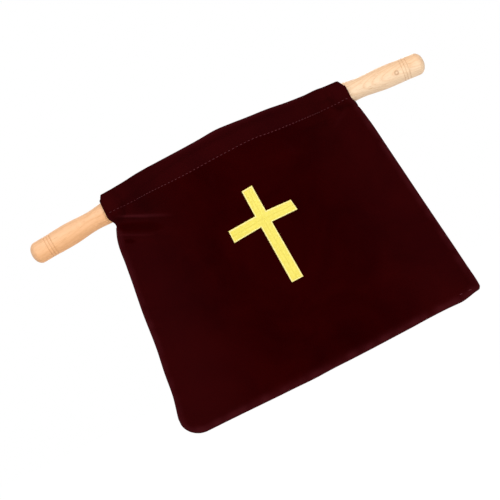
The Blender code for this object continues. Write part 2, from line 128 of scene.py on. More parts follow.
# The hem: its lean out at the middle, half its thickness, and its thicker head round the wire
HEM_LEAN = math.radians(13)
HEM_HALF = 0.0015
HEM_HEAD = 0.00345
HEM_HEAD_HEIGHT = 0.0055
HEAD_END = (0.104, 0.107)
# How far the inner layer goes on below the stitches, and the hole in it where the wire leaves the hem
TAIL_BELOW_STITCH = 0.0018
WIRE_EXIT = 0.003
# How deep the stitches pull the cloth in
STITCH_DIP = 0.00045
STITCH_DIP_WIDTH = 0.0012
# Where the hem goes round a handle's collar, and how far from the collar's middle
COLLAR_GRIP = (0.098, 0.11)
COLLAR_CLOTH = 0.0121
COLLAR_BLEND = 0.0015
FOLD_TURN = math.radians(80)
SETTLE_ROUNDS = 8
LEAN_STEP = 0.01

# The panels: their rolled edge, how they belly out, and how the bow and the seams hold them
SEAM_OUT = 0.0042
ROLL_FADE = 0.0025
BELLY = 0.28
SLACK_POWER = 1.6
FIRM_UNDER_HEM = (0.5, 0.97)
TAUT_AT_SIDE = (1.0, 0.965)
# The height over which a panel's top takes on the hem's shape, and the step that its slope is measured by
TOP_MATCH = 0.012
SLOPE_STEP = 0.0008
# Where the cloth lies even: this near to the stitch line, to the sides as shares, and to the bottom
HEM_GRIP = (0.0015, 0.011)
SIDE_GRIP = (1.0, 0.93)
BOTTOM_GRIP = (0.004, 0.03)
# The wander of the slack cloth: its share, the size of its lumps, and how much taller than wide they are
WANDERS = ((1.3, 0.062, 0.6), (0.5, 0.021, 1.0))
WANDER_SEED = {"front": 3.7, "back": 9.1}
SEED_STEP = 5

# A fold's width at its two ends, as shares of the width given, and where it starts and dies away along it
FOLD_SPREAD = (0.7, 1.5)
FOLD_START = (-0.12, 0.08)
FOLD_END = (0.35, 1.0)
# The folds below the hem's ends: start and end in x and z, width, and height or, below 0, depth
FOLDS = {
    "front": (
        ((-0.1187, 0.211), (-0.052, 0.1778), 0.0019, 0.0025),
        ((-0.119, 0.2), (-0.066, 0.1735), 0.005, -0.0019),
        ((-0.119, 0.1926), (-0.07, 0.168), 0.0019, 0.0015),
        ((-0.1165, 0.185), (-0.104, 0.1785), 0.0024, -0.0014),
        ((0.119, 0.206), (0.074, 0.178), 0.0055, 0.0008),
        ((0.12, 0.196), (0.08, 0.165), 0.005, -0.0006),
        ((-0.02, 0.207), (-0.034, 0.168), 0.009, 0.0007),
        ((0.045, 0.207), (0.06, 0.16), 0.010, 0.0007),
    ),
    "back": (
        ((-0.119, 0.207), (-0.07, 0.176), 0.005, 0.0021),
        ((-0.12, 0.197), (-0.075, 0.164), 0.005, -0.0015),
        ((0.119, 0.208), (0.066, 0.18), 0.005, 0.0023),
        ((0.12, 0.199), (0.07, 0.169), 0.005, -0.0018),
        ((0.018, 0.206), (0.03, 0.16), 0.010, 0.0008),
        ((-0.05, 0.206), (-0.066, 0.155), 0.011, 0.0008),
    ),
}


def linear(text):
    """Turns an sRGB hex colour to linear red, green and blue, with an alpha of 1."""
    parts = [int(text[i : i + 2], 16) / 255 for i in (0, 2, 4)]
    return (*(p / 12.92 if p <= 0.04045 else ((p + 0.055) / 1.055) ** 2.4 for p in parts), 1.0)


def colour_property(name, description, text):
    """A colour that the user can change."""
    return FloatVectorProperty(
        name=name, description=description, default=linear(text), size=4, subtype="COLOR", min=0.0, max=1.0
    )


def length_property(name, description, size):
    """A size that the user can change."""
    return FloatProperty(name=name, description=description, default=size, unit="LENGTH", precision=5)


def angle_property(name, description, degrees):
    """An angle that the user can change."""
    return FloatProperty(name=name, description=description, default=math.radians(degrees), subtype="ANGLE")


class ClothSettings(bpy.types.PropertyGroup):
    """The velvet: its sizes, how it hangs, and its colours"""

    thickness: length_property("Cloth", "Thickness of the velvet with its pile", 0.0014)
    seam_allowance: length_property("Seam allowance", "Width of cloth turned in at the seams", 0.009)
    drape: length_property("Drape", "How far the slack cloth wanders from its even shape", 0.0012)
    pile: length_property("Pile grain", "Size of the tufts that show in the pile", 0.0007)
    brushed: length_property("Brushed patches", "Size of the patches where the pile lies another way", 0.07)
    dark: colour_property("Pile in shade", "Colour of the pile seen from above its tips", "1E0001")
    light: colour_property("Pile in light", "Colour of the pile where it leans towards the light", "2C0202")
    # Painted light: the turned pile colour is painted sheen along the edges and in the hem and a painted
    # highlight on fold ridges; the closed pile colour is painted shade in fold valleys
    turned: colour_property("Turned pile", "Colour of the pile where it opens on a fold or an edge", "451519")
    closed: colour_property("Closed pile", "Colour of the pile pressed shut in a valley", "120102")
    knit: colour_property("Cloth back", "Colour of the velvet's woven back", "35080D")


class ThreadSettings(bpy.types.PropertyGroup):
    """The stitches in the hem and the seams"""

    pitch: length_property("Stitch", "Length of one machine stitch with its gap", 0.00385)
    radius: length_property("Thread radius", "Radius of the sewing thread", 0.00034)
    hem_colour: colour_property("Hem thread", "Colour of the thread in the hem", "561A21")
    seam_colour: colour_property("Seam thread", "Colour of the overlock thread on the seams", "5E1822")


class CrossSettings(bpy.types.PropertyGroup):
    """The cross: the reach of its arms, its stitches and its colours"""

    above: length_property("Above the arms", "From the crossing to the top", 0.0302)
    below: length_property("Below the arms", "From the crossing to the foot", 0.061)
    left: length_property("Left arm", "From the crossing to the left end", 0.0321)
    right: length_property("Right arm", "From the crossing to the right end", 0.0299)
    height: length_property("Thickness", "How far the stitches stand off the velvet", 0.0011)
    thread: length_property("Thread width", "Spacing of the satin stitches", 0.00055)
    pale: colour_property("Thread in light", "Colour of the thread along the outline", "FAEB9C")
    fill: colour_property("Thread in the fill", "Colour of the thread inside the outline", "EADA5A")
    deep: colour_property("Thread in shade", "Colour of the thread between stitches", "D8C040")


class HandleSettings(bpy.types.PropertyGroup):
    """The turned handles and their wood"""

    steps: IntProperty(name="Steps", description="Facets round the handle", default=96, min=24, max=256)
    ring: length_property("Ring spacing", "Spacing of the wood's growth rings", 0.0021)
    left_colour: colour_property("Left wood", "Colour of the left handle's wood", "EFBC8F")
    right_colour: colour_property("Right wood", "Colour of the right handle's wood", "F2D5B3")
    late_wood: colour_property("Late wood", "Colour of the dark part of a growth ring", "D79A62")
    # Colour painted on one side of each handle: painted shade on the left handle's underside, and on the
    # right handle's top edge
    orange_side_wood: colour_property("Heart side", "Colour of the wood on the side nearer the heart", "ECA766")


class StageSettings(bpy.types.PropertyGroup):
    """The camera and the floor"""

    distance: length_property("Camera distance", "From the camera to the bag", 1.4)
    lens: FloatProperty(name="Lens", description="Focal length in millimetres", default=112.06)
    azimuth: angle_property("Azimuth", "Angle round the bag", -2.05)
    roll: angle_property("Roll", "How far the camera is turned", -26.64)
    floor_drop: length_property("Floor", "How far the floor lies below the bag", 0.35)


def smoothstep(low, high, value):
    """Goes smoothly from 0 at the first place to 1 at the second."""
    share = np.clip((value - low) / (high - low), 0.0, 1.0)
    return share * share * (3 - 2 * share)


def hump(off, width):
    """A round hump, 1 in its middle and almost gone at twice its width."""
    return np.exp(-((off / width) ** 2))


def arc(off):
    """Height of a half circle: 1 in its middle at 0, and nothing at its ends at -1 and 1."""
    return np.sqrt(np.clip(1 - off**2, 0.0, 1.0))


def larger(one, other, blend):
    """The larger of two values, with a rounded change from one to the other."""
    near = np.clip(blend - np.abs(one - other), 0.0, None) / blend
    return np.maximum(one, other) + near * near * blend / 4


def by_side(x, pair):
    """The left or the right value of a pair, for the side that x is on."""
    return np.where(np.asarray(x) < 0, *pair)


def unit(ways):
    """Makes every way one long."""
    return ways / np.linalg.norm(ways, axis=-1, keepdims=True)


def run_along(points):
    """The way run along a line of points up to each of them."""
    return np.concatenate([[0.0], np.cumsum(np.linalg.norm(np.diff(points, axis=0), axis=1))])


def through(points, place):
    """Reads a smooth curve through a few points at each place."""
    at, value = np.array(points, float).T
    slope = np.gradient(value, at)
    place = np.clip(place, at[0], at[-1])
    i = np.clip(np.searchsorted(at, place) - 1, 0, len(at) - 2)
    run = at[i + 1] - at[i]
    t = (place - at[i]) / run
    start = (1 + 2 * t) * (1 - t) ** 2 * value[i] + t * (1 - t) ** 2 * run * slope[i]
    return start + t * t * (3 - 2 * t) * value[i + 1] + t * t * (t - 1) * run * slope[i + 1]


def wander(x, z, size, seed):
    """Smooth noise from -1 to 1 over the cloth, with lumps of about the given size."""
    flat = [noise.noise(Vector((a / size, b / size, seed))) for a, b in zip(np.ravel(x), np.ravel(z))]
    return np.reshape(flat, np.shape(x))


# The shape of the cloth


def bow_line(x):
    """The middle of a bow's wire at rest: how far out it lies, and how high."""
    along = np.abs(x)
    run = np.clip(BOW_HALF_SPAN - along, 0.0, BOW_BEND_RADIUS)
    bend = BOW_BEND_RADIUS - np.sqrt(BOW_BEND_RADIUS**2 - run**2)
    bow = BOW_REACH - BOW_ARC_RADIUS + np.sqrt(np.clip(BOW_ARC_RADIUS**2 - along**2, 0.0, None))
    bend_start = BOW_HALF_SPAN - BOW_BEND_RADIUS * math.sin(BOW_TURN)
    reach = np.where(along > bend_start, bend, bow)
    return HINGE_OUT + reach * BOW_OUT / BOW_REACH, HINGE_HEIGHT + reach * BOW_RISE / BOW_REACH


def hem_lean(x):
    """How far the hem leans out: most at the bow's middle."""
    return HEM_LEAN * (bow_line(x)[0] - HINGE_OUT) / BOW_OUT


def end_reach(face, x):
    """Where the hem ends, on the side that x is on."""
    return by_side(x, HEM_END[face])


def side_reach(x, z):
    """How far the seamed side reaches at a height, on the side that x is on."""
    return by_side(x, [through(edge, z) for edge in SIDE_EDGE])


def roll_radius(z):
    """Radius of the roll in which a shell's edge turns in to the seam: it flattens out at the seam's top."""
    return SEAM_OUT / 2 * (1 - smoothstep(SIDE_TOP - ROLL_FADE, SIDE_TOP, z))


def grid_reach(face, x, z):
    """How far the flat of a shell reaches: up to the rolled seam, and above it to the hem's end."""
    above = smoothstep(SIDE_TOP, SIDE_TOP + HEM_END_FADE, z)
    return (side_reach(x, z) - roll_radius(z)) * (1 - above) + end_reach(face, x) * above


def bottom_height(across):
    """Height of the seam at the bottom edge, with its rounded corners: across goes from -1 to 1."""
    reach = side_reach(across, 0.0)
    x = across * reach
    rise = BOTTOM_RISE * smoothstep(BOTTOM_RISE_START, SIDE_EDGE[1][0][1], x) + through(BOTTOM_SAG, x)
    radius = by_side(across, BOTTOM_CORNER)
    past = np.clip(np.abs(x) - (reach - radius), 0.0, radius)
    return roll_radius(0.0) + rise + radius - np.sqrt(radius**2 - past**2)


def stitch_height(x):
    """Height of the row of stitches under the hem."""
    return through(STITCH_LINE, x)


def below_hem(x, z):
    """How free the cloth is of the hem: 0 at the stitches, and 1 from a centimetre below them."""
    return smoothstep(*(stitch_height(x) - way for way in HEM_GRIP), z)


def collar_middle(x):
    """Height of the middle of a handle's collar, which droops outwards."""
    return HANDLE_HEIGHT - (np.abs(x) - COLLAR_FACE) * math.tan(HANDLE_DROOP)


def collar_grip(x):
    """How far the cloth goes round the collar: 1 at the hem's ends."""
    return smoothstep(*COLLAR_GRIP, np.abs(x))


def fold_top(face, x):
    """Height of the hem's top fold, with a rounded corner at each end."""
    left_over = end_reach(face, x) - np.abs(x)
    fall = by_side(x, CORNER_FALL[face])
    return through(FOLD_TOP, x) - fall * (1 - smoothstep(0.0, by_side(x, CORNER_RUN[face]), left_over))


def hem_half(x, height):
    """Half the hem's thickness: thicker where the wire lies in it."""
    near = np.clip(1 - ((height - bow_line(x)[1]) / HEM_HEAD_HEIGHT) ** 2, 0.0, 1.0) ** 2
    return HEM_HALF + (HEM_HEAD - HEM_HALF) * near * (1 - smoothstep(*HEAD_END, np.abs(x)))


def fold_radius(face, x):
    """Radius of the top fold. It depends on the height of its own middle, so it is found step by step."""
    radius = np.full(np.shape(x), HEM_HALF)
    for _ in range(SETTLE_ROUNDS):
        radius = (radius + hem_half(x, fold_top(face, x) - radius)) / 2
    return radius


def hem_middle(face, x, share):
    """Between the hem's two layers, from the stitch line at 0 to the fold at 1: out and height."""
    low = stitch_height(x)
    top = fold_top(face, x) - fold_radius(face, x)
    height = low + (top - low) * share
    wire_out, wire_height = bow_line(x)
    out = wire_out + (height - wire_height) * np.tan(hem_lean(x))
    middle = collar_middle(x)
    tall = np.maximum((top - middle) / math.sin(FOLD_TURN), COLLAR_CLOTH)
    first = np.arcsin(np.clip((low - middle) / COLLAR_CLOTH, -1, 1))
    last = np.arcsin(np.clip((top - middle) / tall, -1, 1))
    turn = first + (last - first) * share
    round_out = COLLAR_CLOTH * np.cos(turn)
    round_height = middle + np.where(turn > 0, tall, COLLAR_CLOTH) * np.sin(turn)
    grip = collar_grip(x)
    return out + (round_out - out) * grip, height + (round_height - height) * grip


def hem_outward(face, x, share):
    """The way from the hem's middle to its outer face: out and up."""
    below = hem_middle(face, x, share - LEAN_STEP)
    above = hem_middle(face, x, share + LEAN_STEP)
    out, up = above[0] - below[0], above[1] - below[1]
    length = np.hypot(out, up)
    return up / length, -out / length


def hem_layer(face, x, share, side):
    """A point of the hem's outer (side 1) or inner (side -1) face."""
    out, height = hem_middle(face, x, share)
    outward = hem_outward(face, x, share)
    half = hem_half(x, height) * side
    return out + outward[0] * half, height + outward[1] * half


def hem_fold(face, x, turn):
    """A point of the round fold, from its outer side at turn 0 to its inner side at pi."""
    out, height = hem_middle(face, x, 1.0)
    across = hem_outward(face, x, 1.0)
    half = hem_half(x, height)
    side = half * np.cos(turn)
    up = half * np.sin(turn)
    return out + across[0] * side - across[1] * up, height + across[1] * side + across[0] * up


def ridge(x, z, start, end, width, height):
    """A soft fold along a line, highest at its start and gone at its end."""
    start = np.array(start)
    run = np.array(end) - start
    length = np.hypot(*run)
    along = ((x - start[0]) * run[0] + (z - start[1]) * run[1]) / length**2
    off = ((x - start[0]) * run[1] - (z - start[1]) * run[0]) / length
    spread = width * np.interp(along, (0.0, 1.0), FOLD_SPREAD)
    return height * smoothstep(*FOLD_START, along) * (1 - smoothstep(*FOLD_END, along)) * hump(off, spread)


def fold_height(face, x, z):
    """How far the folds below the hem's ends stand out, above 0, or lie in, below 0."""
    return sum(ridge(x, z, *fold) for fold in FOLDS[face]) * below_hem(x, z)


def drape(face, x, z, across, depth):
    """How slack cloth wanders from its even shape, fading out at the seams and under the hem."""
    out = 0.0
    for i, (share, size, tall) in enumerate(WANDERS):
        out = out + depth * share * wander(x, z * tall, size, WANDER_SEED[face] + SEED_STEP * i)
    out = out * below_hem(x, z) + fold_height(face, x, z)
    return out * smoothstep(*SIDE_GRIP, np.abs(across)) * smoothstep(*BOTTOM_GRIP, z)


def panel_out(face, x, z, depth):
    """How far the outer face of a shell stands out at a place below the stitch line."""
    across = np.clip(x / grid_reach(face, x, z), -1.0, 1.0)
    top_x = across * end_reach(face, x)
    top_out, top_height = hem_layer(face, top_x, 0.0, 1.0)
    low = bottom_height(across)
    up = np.clip((z - low) / (top_height - low), 0.0, 1.0)
    wire_out, wire_height = bow_line(top_x)
    bowed = wire_out + (top_height - wire_height) * np.tan(hem_lean(top_x)) + HEM_HALF
    most = bow_line(0.0)[0] + (stitch_height(0.0) - bow_line(0.0)[1]) * math.tan(HEM_LEAN) + HEM_HALF
    bow_share = np.clip((bowed - SEAM_OUT) / (most - SEAM_OUT), 0.0, None)
    slack_share = np.clip(1 - across**2, 0.0, 1.0) ** SLACK_POWER
    share = slack_share + (bow_share - slack_share) * smoothstep(*FIRM_UNDER_HEM, up)
    free = smoothstep(*TAUT_AT_SIDE, np.abs(across))
    out = SEAM_OUT + (most - SEAM_OUT) * up * (1 + BELLY * (1 - up)) * share * free
    out = out + drape(face, x, z, across, depth)

    def over_collar(height, even):
        """The even shape, pushed out where the cloth goes over the handle's collar."""
        down = height - collar_middle(x)
        reach = np.sqrt(np.clip((COLLAR_CLOTH + HEM_HALF) ** 2 - down**2, 0.0, None))
        return larger(even, reach * collar_grip(x), COLLAR_BLEND)

    miss = top_out - over_collar(top_height, SEAM_OUT + (most - SEAM_OUT) * bow_share * free)
    return over_collar(z, out) + miss * smoothstep(top_height - TOP_MATCH, top_height, z)


def on_front(x, z, proud, depth):
    """Points a little off the front shell's outer face."""
    step = SLOPE_STEP
    out = panel_out("front", x, z, depth)
    rise_x = panel_out("front", x + step, z, depth) - panel_out("front", x - step, z, depth)
    rise_z = panel_out("front", x, z + step, depth) - panel_out("front", x, z - step, depth)
    away = unit(np.stack([-rise_x, np.full(np.shape(out), -2 * step), -rise_z], axis=-1))
    return np.stack([x, -out, z], axis=-1) + away * np.asarray(proud)[..., None]


# Mesh helpers


def add_mesh(name, verts, faces, materials, **attributes):
    """Makes an object from points and faces, with one value for each point in every attribute."""
    mesh = bpy.data.meshes.new(name)
    mesh.from_pydata(np.asarray(verts, float).tolist(), [], [[int(i) for i in face] for face in faces])
    for look in materials:
        mesh.materials.append(look)
    for key, values in attributes.items():
        values = np.asarray(values, np.float32)
        kind, field = ("FLOAT_VECTOR", "vector") if values.ndim == 2 else ("FLOAT", "value")
        mesh.attributes.new(key, kind, "POINT").data.foreach_set(field, values.ravel())
    mesh.shade_smooth()
    made = bpy.data.objects.new(name, mesh)
    bpy.context.scene.collection.objects.link(made)
    return made


def apply_modifiers(item):
    """Turns the modifiers' result into the object's own mesh."""
    bpy.context.view_layer.update()
    graph = bpy.context.evaluated_depsgraph_get()
    shaped = item.evaluated_get(graph)
    made = bpy.data.meshes.new_from_object(shaped, preserve_all_data_layers=True, depsgraph=graph)
    item.modifiers.clear()
    item.data = made


def thicken(item, thickness, material_step=0):
    """Gives a sheet its thickness, inwards from its outer face."""
    solid = item.modifiers.new("Thickness", "SOLIDIFY")
    solid.thickness = thickness
    solid.offset = -1.0
    solid.material_offset = material_step
    solid.material_offset_rim = material_step
    apply_modifiers(item)


def point_numbers(rows, columns, first=0):
    """Numbers of a grid's points, row by row."""
    return first + np.arange(rows * columns).reshape(rows, columns)


def grid_faces(numbers, flip=False):
    """Faces of a grid, from its points' numbers."""
    low, high = numbers[:-1], numbers[1:]
    quad = np.stack([low[:, :-1], low[:, 1:], high[:, 1:], high[:, :-1]], axis=-1).reshape(-1, 4)
    return quad[:, ::-1] if flip else quad


def tube_faces(rings, sides):
    """The walls of a tube made of rings of points, and the face that closes its first ring."""
    numbers = np.pad(point_numbers(rings, sides), ((0, 0), (0, 1)), mode="wrap")
    return [*grid_faces(numbers).tolist(), list(range(sides - 1, -1, -1))]


def sweep(points, radii, sides):
    """A closed tube along a path: its points and faces. Ring planes turn with the path, without twist."""
    points = np.asarray(points, float)
    radii = np.broadcast_to(radii, len(points))
    ways = unit(np.gradient(points, axis=0))
    any_way = (0.31, 0.52, 0.79)
    side = np.cross(ways[0], any_way)
    turn = np.arange(sides) * math.tau / sides
    rings = []
    for point, way, radius in zip(points, ways, radii):
        side = unit(side - way * side.dot(way))
        up = np.cross(way, side)
        rings.append(point + radius * (np.outer(np.cos(turn), side) + np.outer(np.sin(turn), up)))
    last = (len(points) - 1) * sides
    return np.concatenate(rings), [*tube_faces(len(points), sides), list(range(last, last + sides))]


def join(parts):
    """Puts several lots of points and faces together."""
    verts = []
    faces = []
    start = 0
    for some_verts, some_faces in parts:
        verts.append(some_verts)
        faces += [[i + start for i in face] for face in some_faces]
        start += len(some_verts)
    return np.concatenate(verts), faces


def bend_with_bow(item):
    """Bakes the object's place and turn into its mesh."""
    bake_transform(item)


# Materials

BLACK = (0.0, 0.0, 0.0, 1.0)
WHITE = (1.0, 1.0, 1.0, 1.0)
# A wave texture's scale, times the width of one of its bands
BAND_SCALE = math.pi / 10


def mix(one, other, share):
    """A colour between two: the first at 0, the other at 1."""
    return [a + (b - a) * share for a, b in zip(one, other)]


def new_material(name):
    """An empty material and its node tree."""
    made = bpy.data.materials.new(name)
    made.use_nodes = True
    made.node_tree.nodes.clear()
    return made, made.node_tree


def add_node(tree, kind, settings=None, output=0):
    """Adds a node and gives one of its outputs. A socket among the settings is linked to the input named,
    and any other value goes to the input or the node's own setting of that name."""
    node = tree.nodes.new("ShaderNode" + kind)
    for key, value in (settings or {}).items():
        if isinstance(value, bpy.types.NodeSocket):
            tree.links.new(value, node.inputs[key])
        elif key == "stops":
            stops = node.color_ramp.elements
            while len(stops) < len(value):
                stops.new(1.0)
            for stop, (place, colour) in zip(stops, value):
                stop.position = place
                stop.color = colour
        elif isinstance(key, int) or key in node.inputs:
            node.inputs[key].default_value = value
        else:
            setattr(node, key, value)
    return node.outputs[output] if node.outputs else None


def velvet_material(cloth):
    """Cotton velvet with a short cut pile: almost black red face on, redder where its sheen turns away, with
    painted sheen along the edges and painted highlight and shade on the folds.
    """
    made, tree = new_material("burgundy_cotton_velvet_cut_pile")
    place = add_node(tree, "Attribute", {"attribute_name": "cloth_place"}, "Vector")
    # Painted light: above 0 the pile mixes to the turned colour as painted sheen and fold highlight, below 0
    # to the closed colour as painted shade in fold valleys
    lie = add_node(tree, "Attribute", {"attribute_name": "pile_lie"}, "Fac")
    closed = add_node(tree, "Math", {"operation": "MULTIPLY", "use_clamp": True, 0: lie, 1: -1.0})
    patches = {"Scale": 1 / cloth.brushed, "Detail": 3.0, "Roughness": 0.6, "Distortion": 0.6}
    brushed = add_node(tree, "TexNoise", {"Vector": place, **patches})
    # Single tufts, about 0.2 mm apart, are drawn as clumps of 0.7 mm, so that they show
    tufts = {"Scale": 1 / cloth.pile, "Detail": 2.0, "Roughness": 0.6}
    tuft = add_node(tree, "TexNoise", {"Vector": place, **tufts})
    both = add_node(tree, "Math", {"operation": "MULTIPLY_ADD", 0: tuft, 1: 0.45, 2: brushed})
    colour = add_node(tree, "ValToRGB", {"Fac": both, "stops": ((0.5, cloth.dark), (1.0, cloth.light))})
    # A Mix node has its two colours at inputs 6 and 7, and the mixed one at output 2
    for share, other in ((closed, cloth.closed), (lie, cloth.turned)):
        colour = add_node(tree, "Mix", {"data_type": "RGBA", 0: share, 6: colour, 7: other}, 2)
    bump = add_node(tree, "Bump", {"Height": tuft, "Strength": 0.5, "Distance": cloth.pile / 3})
    finish = {"Roughness": 0.95, "Specular IOR Level": 0.0}
    sheen = {"Sheen Weight": 0.3, "Sheen Roughness": 0.3, "Sheen Tint": linear("7A2426")}
    shader = add_node(tree, "BsdfPrincipled", {"Base Color": colour, "Normal": bump, **finish, **sheen})
    add_node(tree, "OutputMaterial", {"Surface": shader})
    return made


def cloth_back_material(cloth):
    """The velvet's woven cotton back: dull dark red with fine threads both ways, and no sheen."""
    made, tree = new_material("burgundy_cotton_velvet_woven_back")
    place = add_node(tree, "Attribute", {"attribute_name": "cloth_place"}, "Vector")
    # The weave's 0.4 mm threads are drawn 0.8 mm wide, so that they show
    threads = {"Vector": place, "Scale": BAND_SCALE / (0.8 * MM), "Distortion": 0.6}
    warp, weft = (add_node(tree, "TexWave", {"bands_direction": way, **threads}, "Fac") for way in "XY")
    weave = add_node(tree, "Math", {"operation": "MULTIPLY", 0: warp, 1: weft})
    shade = mix(cloth.knit, BLACK, 0.55)
    colour = add_node(tree, "ValToRGB", {"Fac": weave, "stops": ((0.0, shade), (0.6, cloth.knit))})
    bump = add_node(tree, "Bump", {"Height": weave, "Strength": 0.5, "Distance": 0.2 * MM})
    finish = {"Roughness": 0.95, "Specular IOR Level": 0.1}
    shader = add_node(tree, "BsdfPrincipled", {"Base Color": colour, "Normal": bump, **finish})
    add_node(tree, "OutputMaterial", {"Surface": shader})
    return made


def sewing_thread_material(name, colour):
    """Spun polyester sewing thread: dull, with its twist showing as slanting bands."""
    made, tree = new_material(name)
    place = add_node(tree, "TexCoord", output="Object")
    # The two plies turn every 0.6 mm, and the fuzz has about one lump in a millimetre
    plies = {"bands_direction": "DIAGONAL", "Scale": BAND_SCALE / (0.6 * MM), "Distortion": 1.0}
    twist = add_node(tree, "TexWave", {"Vector": place, **plies}, "Fac")
    fuzz = add_node(tree, "TexNoise", {"Vector": place, "Scale": 0.9 / MM, "Detail": 2.0})
    both = add_node(tree, "Math", {"operation": "MULTIPLY_ADD", 0: twist, 1: 0.5, 2: fuzz})
    shade = mix(colour, BLACK, 0.45)
    tone = add_node(tree, "ValToRGB", {"Fac": both, "stops": ((0.35, shade), (1.0, colour))})
    bump = add_node(tree, "Bump", {"Height": both, "Strength": 0.4, "Distance": 0.1 * MM})
    finish = {"Roughness": 0.6, "Specular IOR Level": 0.2}
    shader = add_node(tree, "BsdfPrincipled", {"Base Color": tone, "Normal": bump, **finish})
    add_node(tree, "OutputMaterial", {"Surface": shader})
    return made


def satin_material(cross):
    """Rayon embroidery thread in satin stitch: bright yellow, silky, with painted highlight on top of each
    stitch and along the outline, and painted shade between.
    """
    made, tree = new_material("yellow_rayon_satin_stitch")
    top = add_node(tree, "Attribute", {"attribute_name": "thread_top"}, "Fac")
    tone = add_node(tree, "Attribute", {"attribute_name": "thread_tone"}, "Fac")
    both = add_node(tree, "Math", {"operation": "MULTIPLY_ADD", 0: tone, 1: 0.12, 2: top})
    stops = ((0.0, cross.deep), (0.55, cross.fill), (1.0, cross.pale))
    colour = add_node(tree, "ValToRGB", {"Fac": both, "stops": stops})
    finish = {"Roughness": 0.42, "Specular IOR Level": 0.4}
    sheen = {"Sheen Weight": 0.25, "Sheen Roughness": 0.3, "Sheen Tint": linear("FFF6B4")}
    shader = add_node(tree, "BsdfPrincipled", {"Base Color": colour, **finish, **sheen})
    add_node(tree, "OutputMaterial", {"Surface": shader})
    return made


def backing_material():
    """Tear-away embroidery backing, wet-laid from short fibres: matt white with a felted grain."""
    made, tree = new_material("white_nonwoven_embroidery_backing")
    place = add_node(tree, "TexCoord", output="Object")
    # The felted fibres lie in clumps about 1.4 mm wide
    felt = {"Vector": place, "Scale": 0.7 / MM, "Detail": 4.0, "Roughness": 0.7, "Distortion": 1.5}
    fibre = add_node(tree, "TexNoise", felt)
    stops = ((0.3, linear("B9B4AC")), (0.7, linear("DEDAD2")))
    colour = add_node(tree, "ValToRGB", {"Fac": fibre, "stops": stops})
    bump = add_node(tree, "Bump", {"Height": fibre, "Strength": 0.4, "Distance": 0.2 * MM})
    finish = {"Roughness": 0.9, "Specular IOR Level": 0.2}
    shader = add_node(tree, "BsdfPrincipled", {"Base Color": colour, "Normal": bump, **finish})
    add_node(tree, "OutputMaterial", {"Surface": shader})
    return made


def steel_material():
    """Cold-drawn steel wire: bright, with faint lines along the wire from the die."""
    made, tree = new_material("bright_drawn_steel_wire")
    place = add_node(tree, "TexCoord", output="Object")
    # The die's lines are finer than 0.1 mm. They are drawn three in a millimetre, and 17 mm long, to show
    drawn = add_node(tree, "Mapping", {"Vector": place, "Scale": (0.06 / MM, 3 / MM, 3 / MM)})
    lines = add_node(tree, "TexNoise", {"Vector": drawn, "Scale": 1.0, "Detail": 2.0})
    gloss = add_node(tree, "MapRange", {"Value": lines, "To Min": 0.22, "To Max": 0.38})
    stops = ((0.2, linear("BDBCB9")), (0.8, linear("DAD9D6")))
    colour = add_node(tree, "ValToRGB", {"Fac": lines, "stops": stops})
    bump = add_node(tree, "Bump", {"Height": lines, "Strength": 0.15, "Distance": 0.05 * MM})
    finish = {"Metallic": 1.0, "Roughness": gloss}
    shader = add_node(tree, "BsdfPrincipled", {"Base Color": colour, "Normal": bump, **finish})
    add_node(tree, "OutputMaterial", {"Surface": shader})
    return made


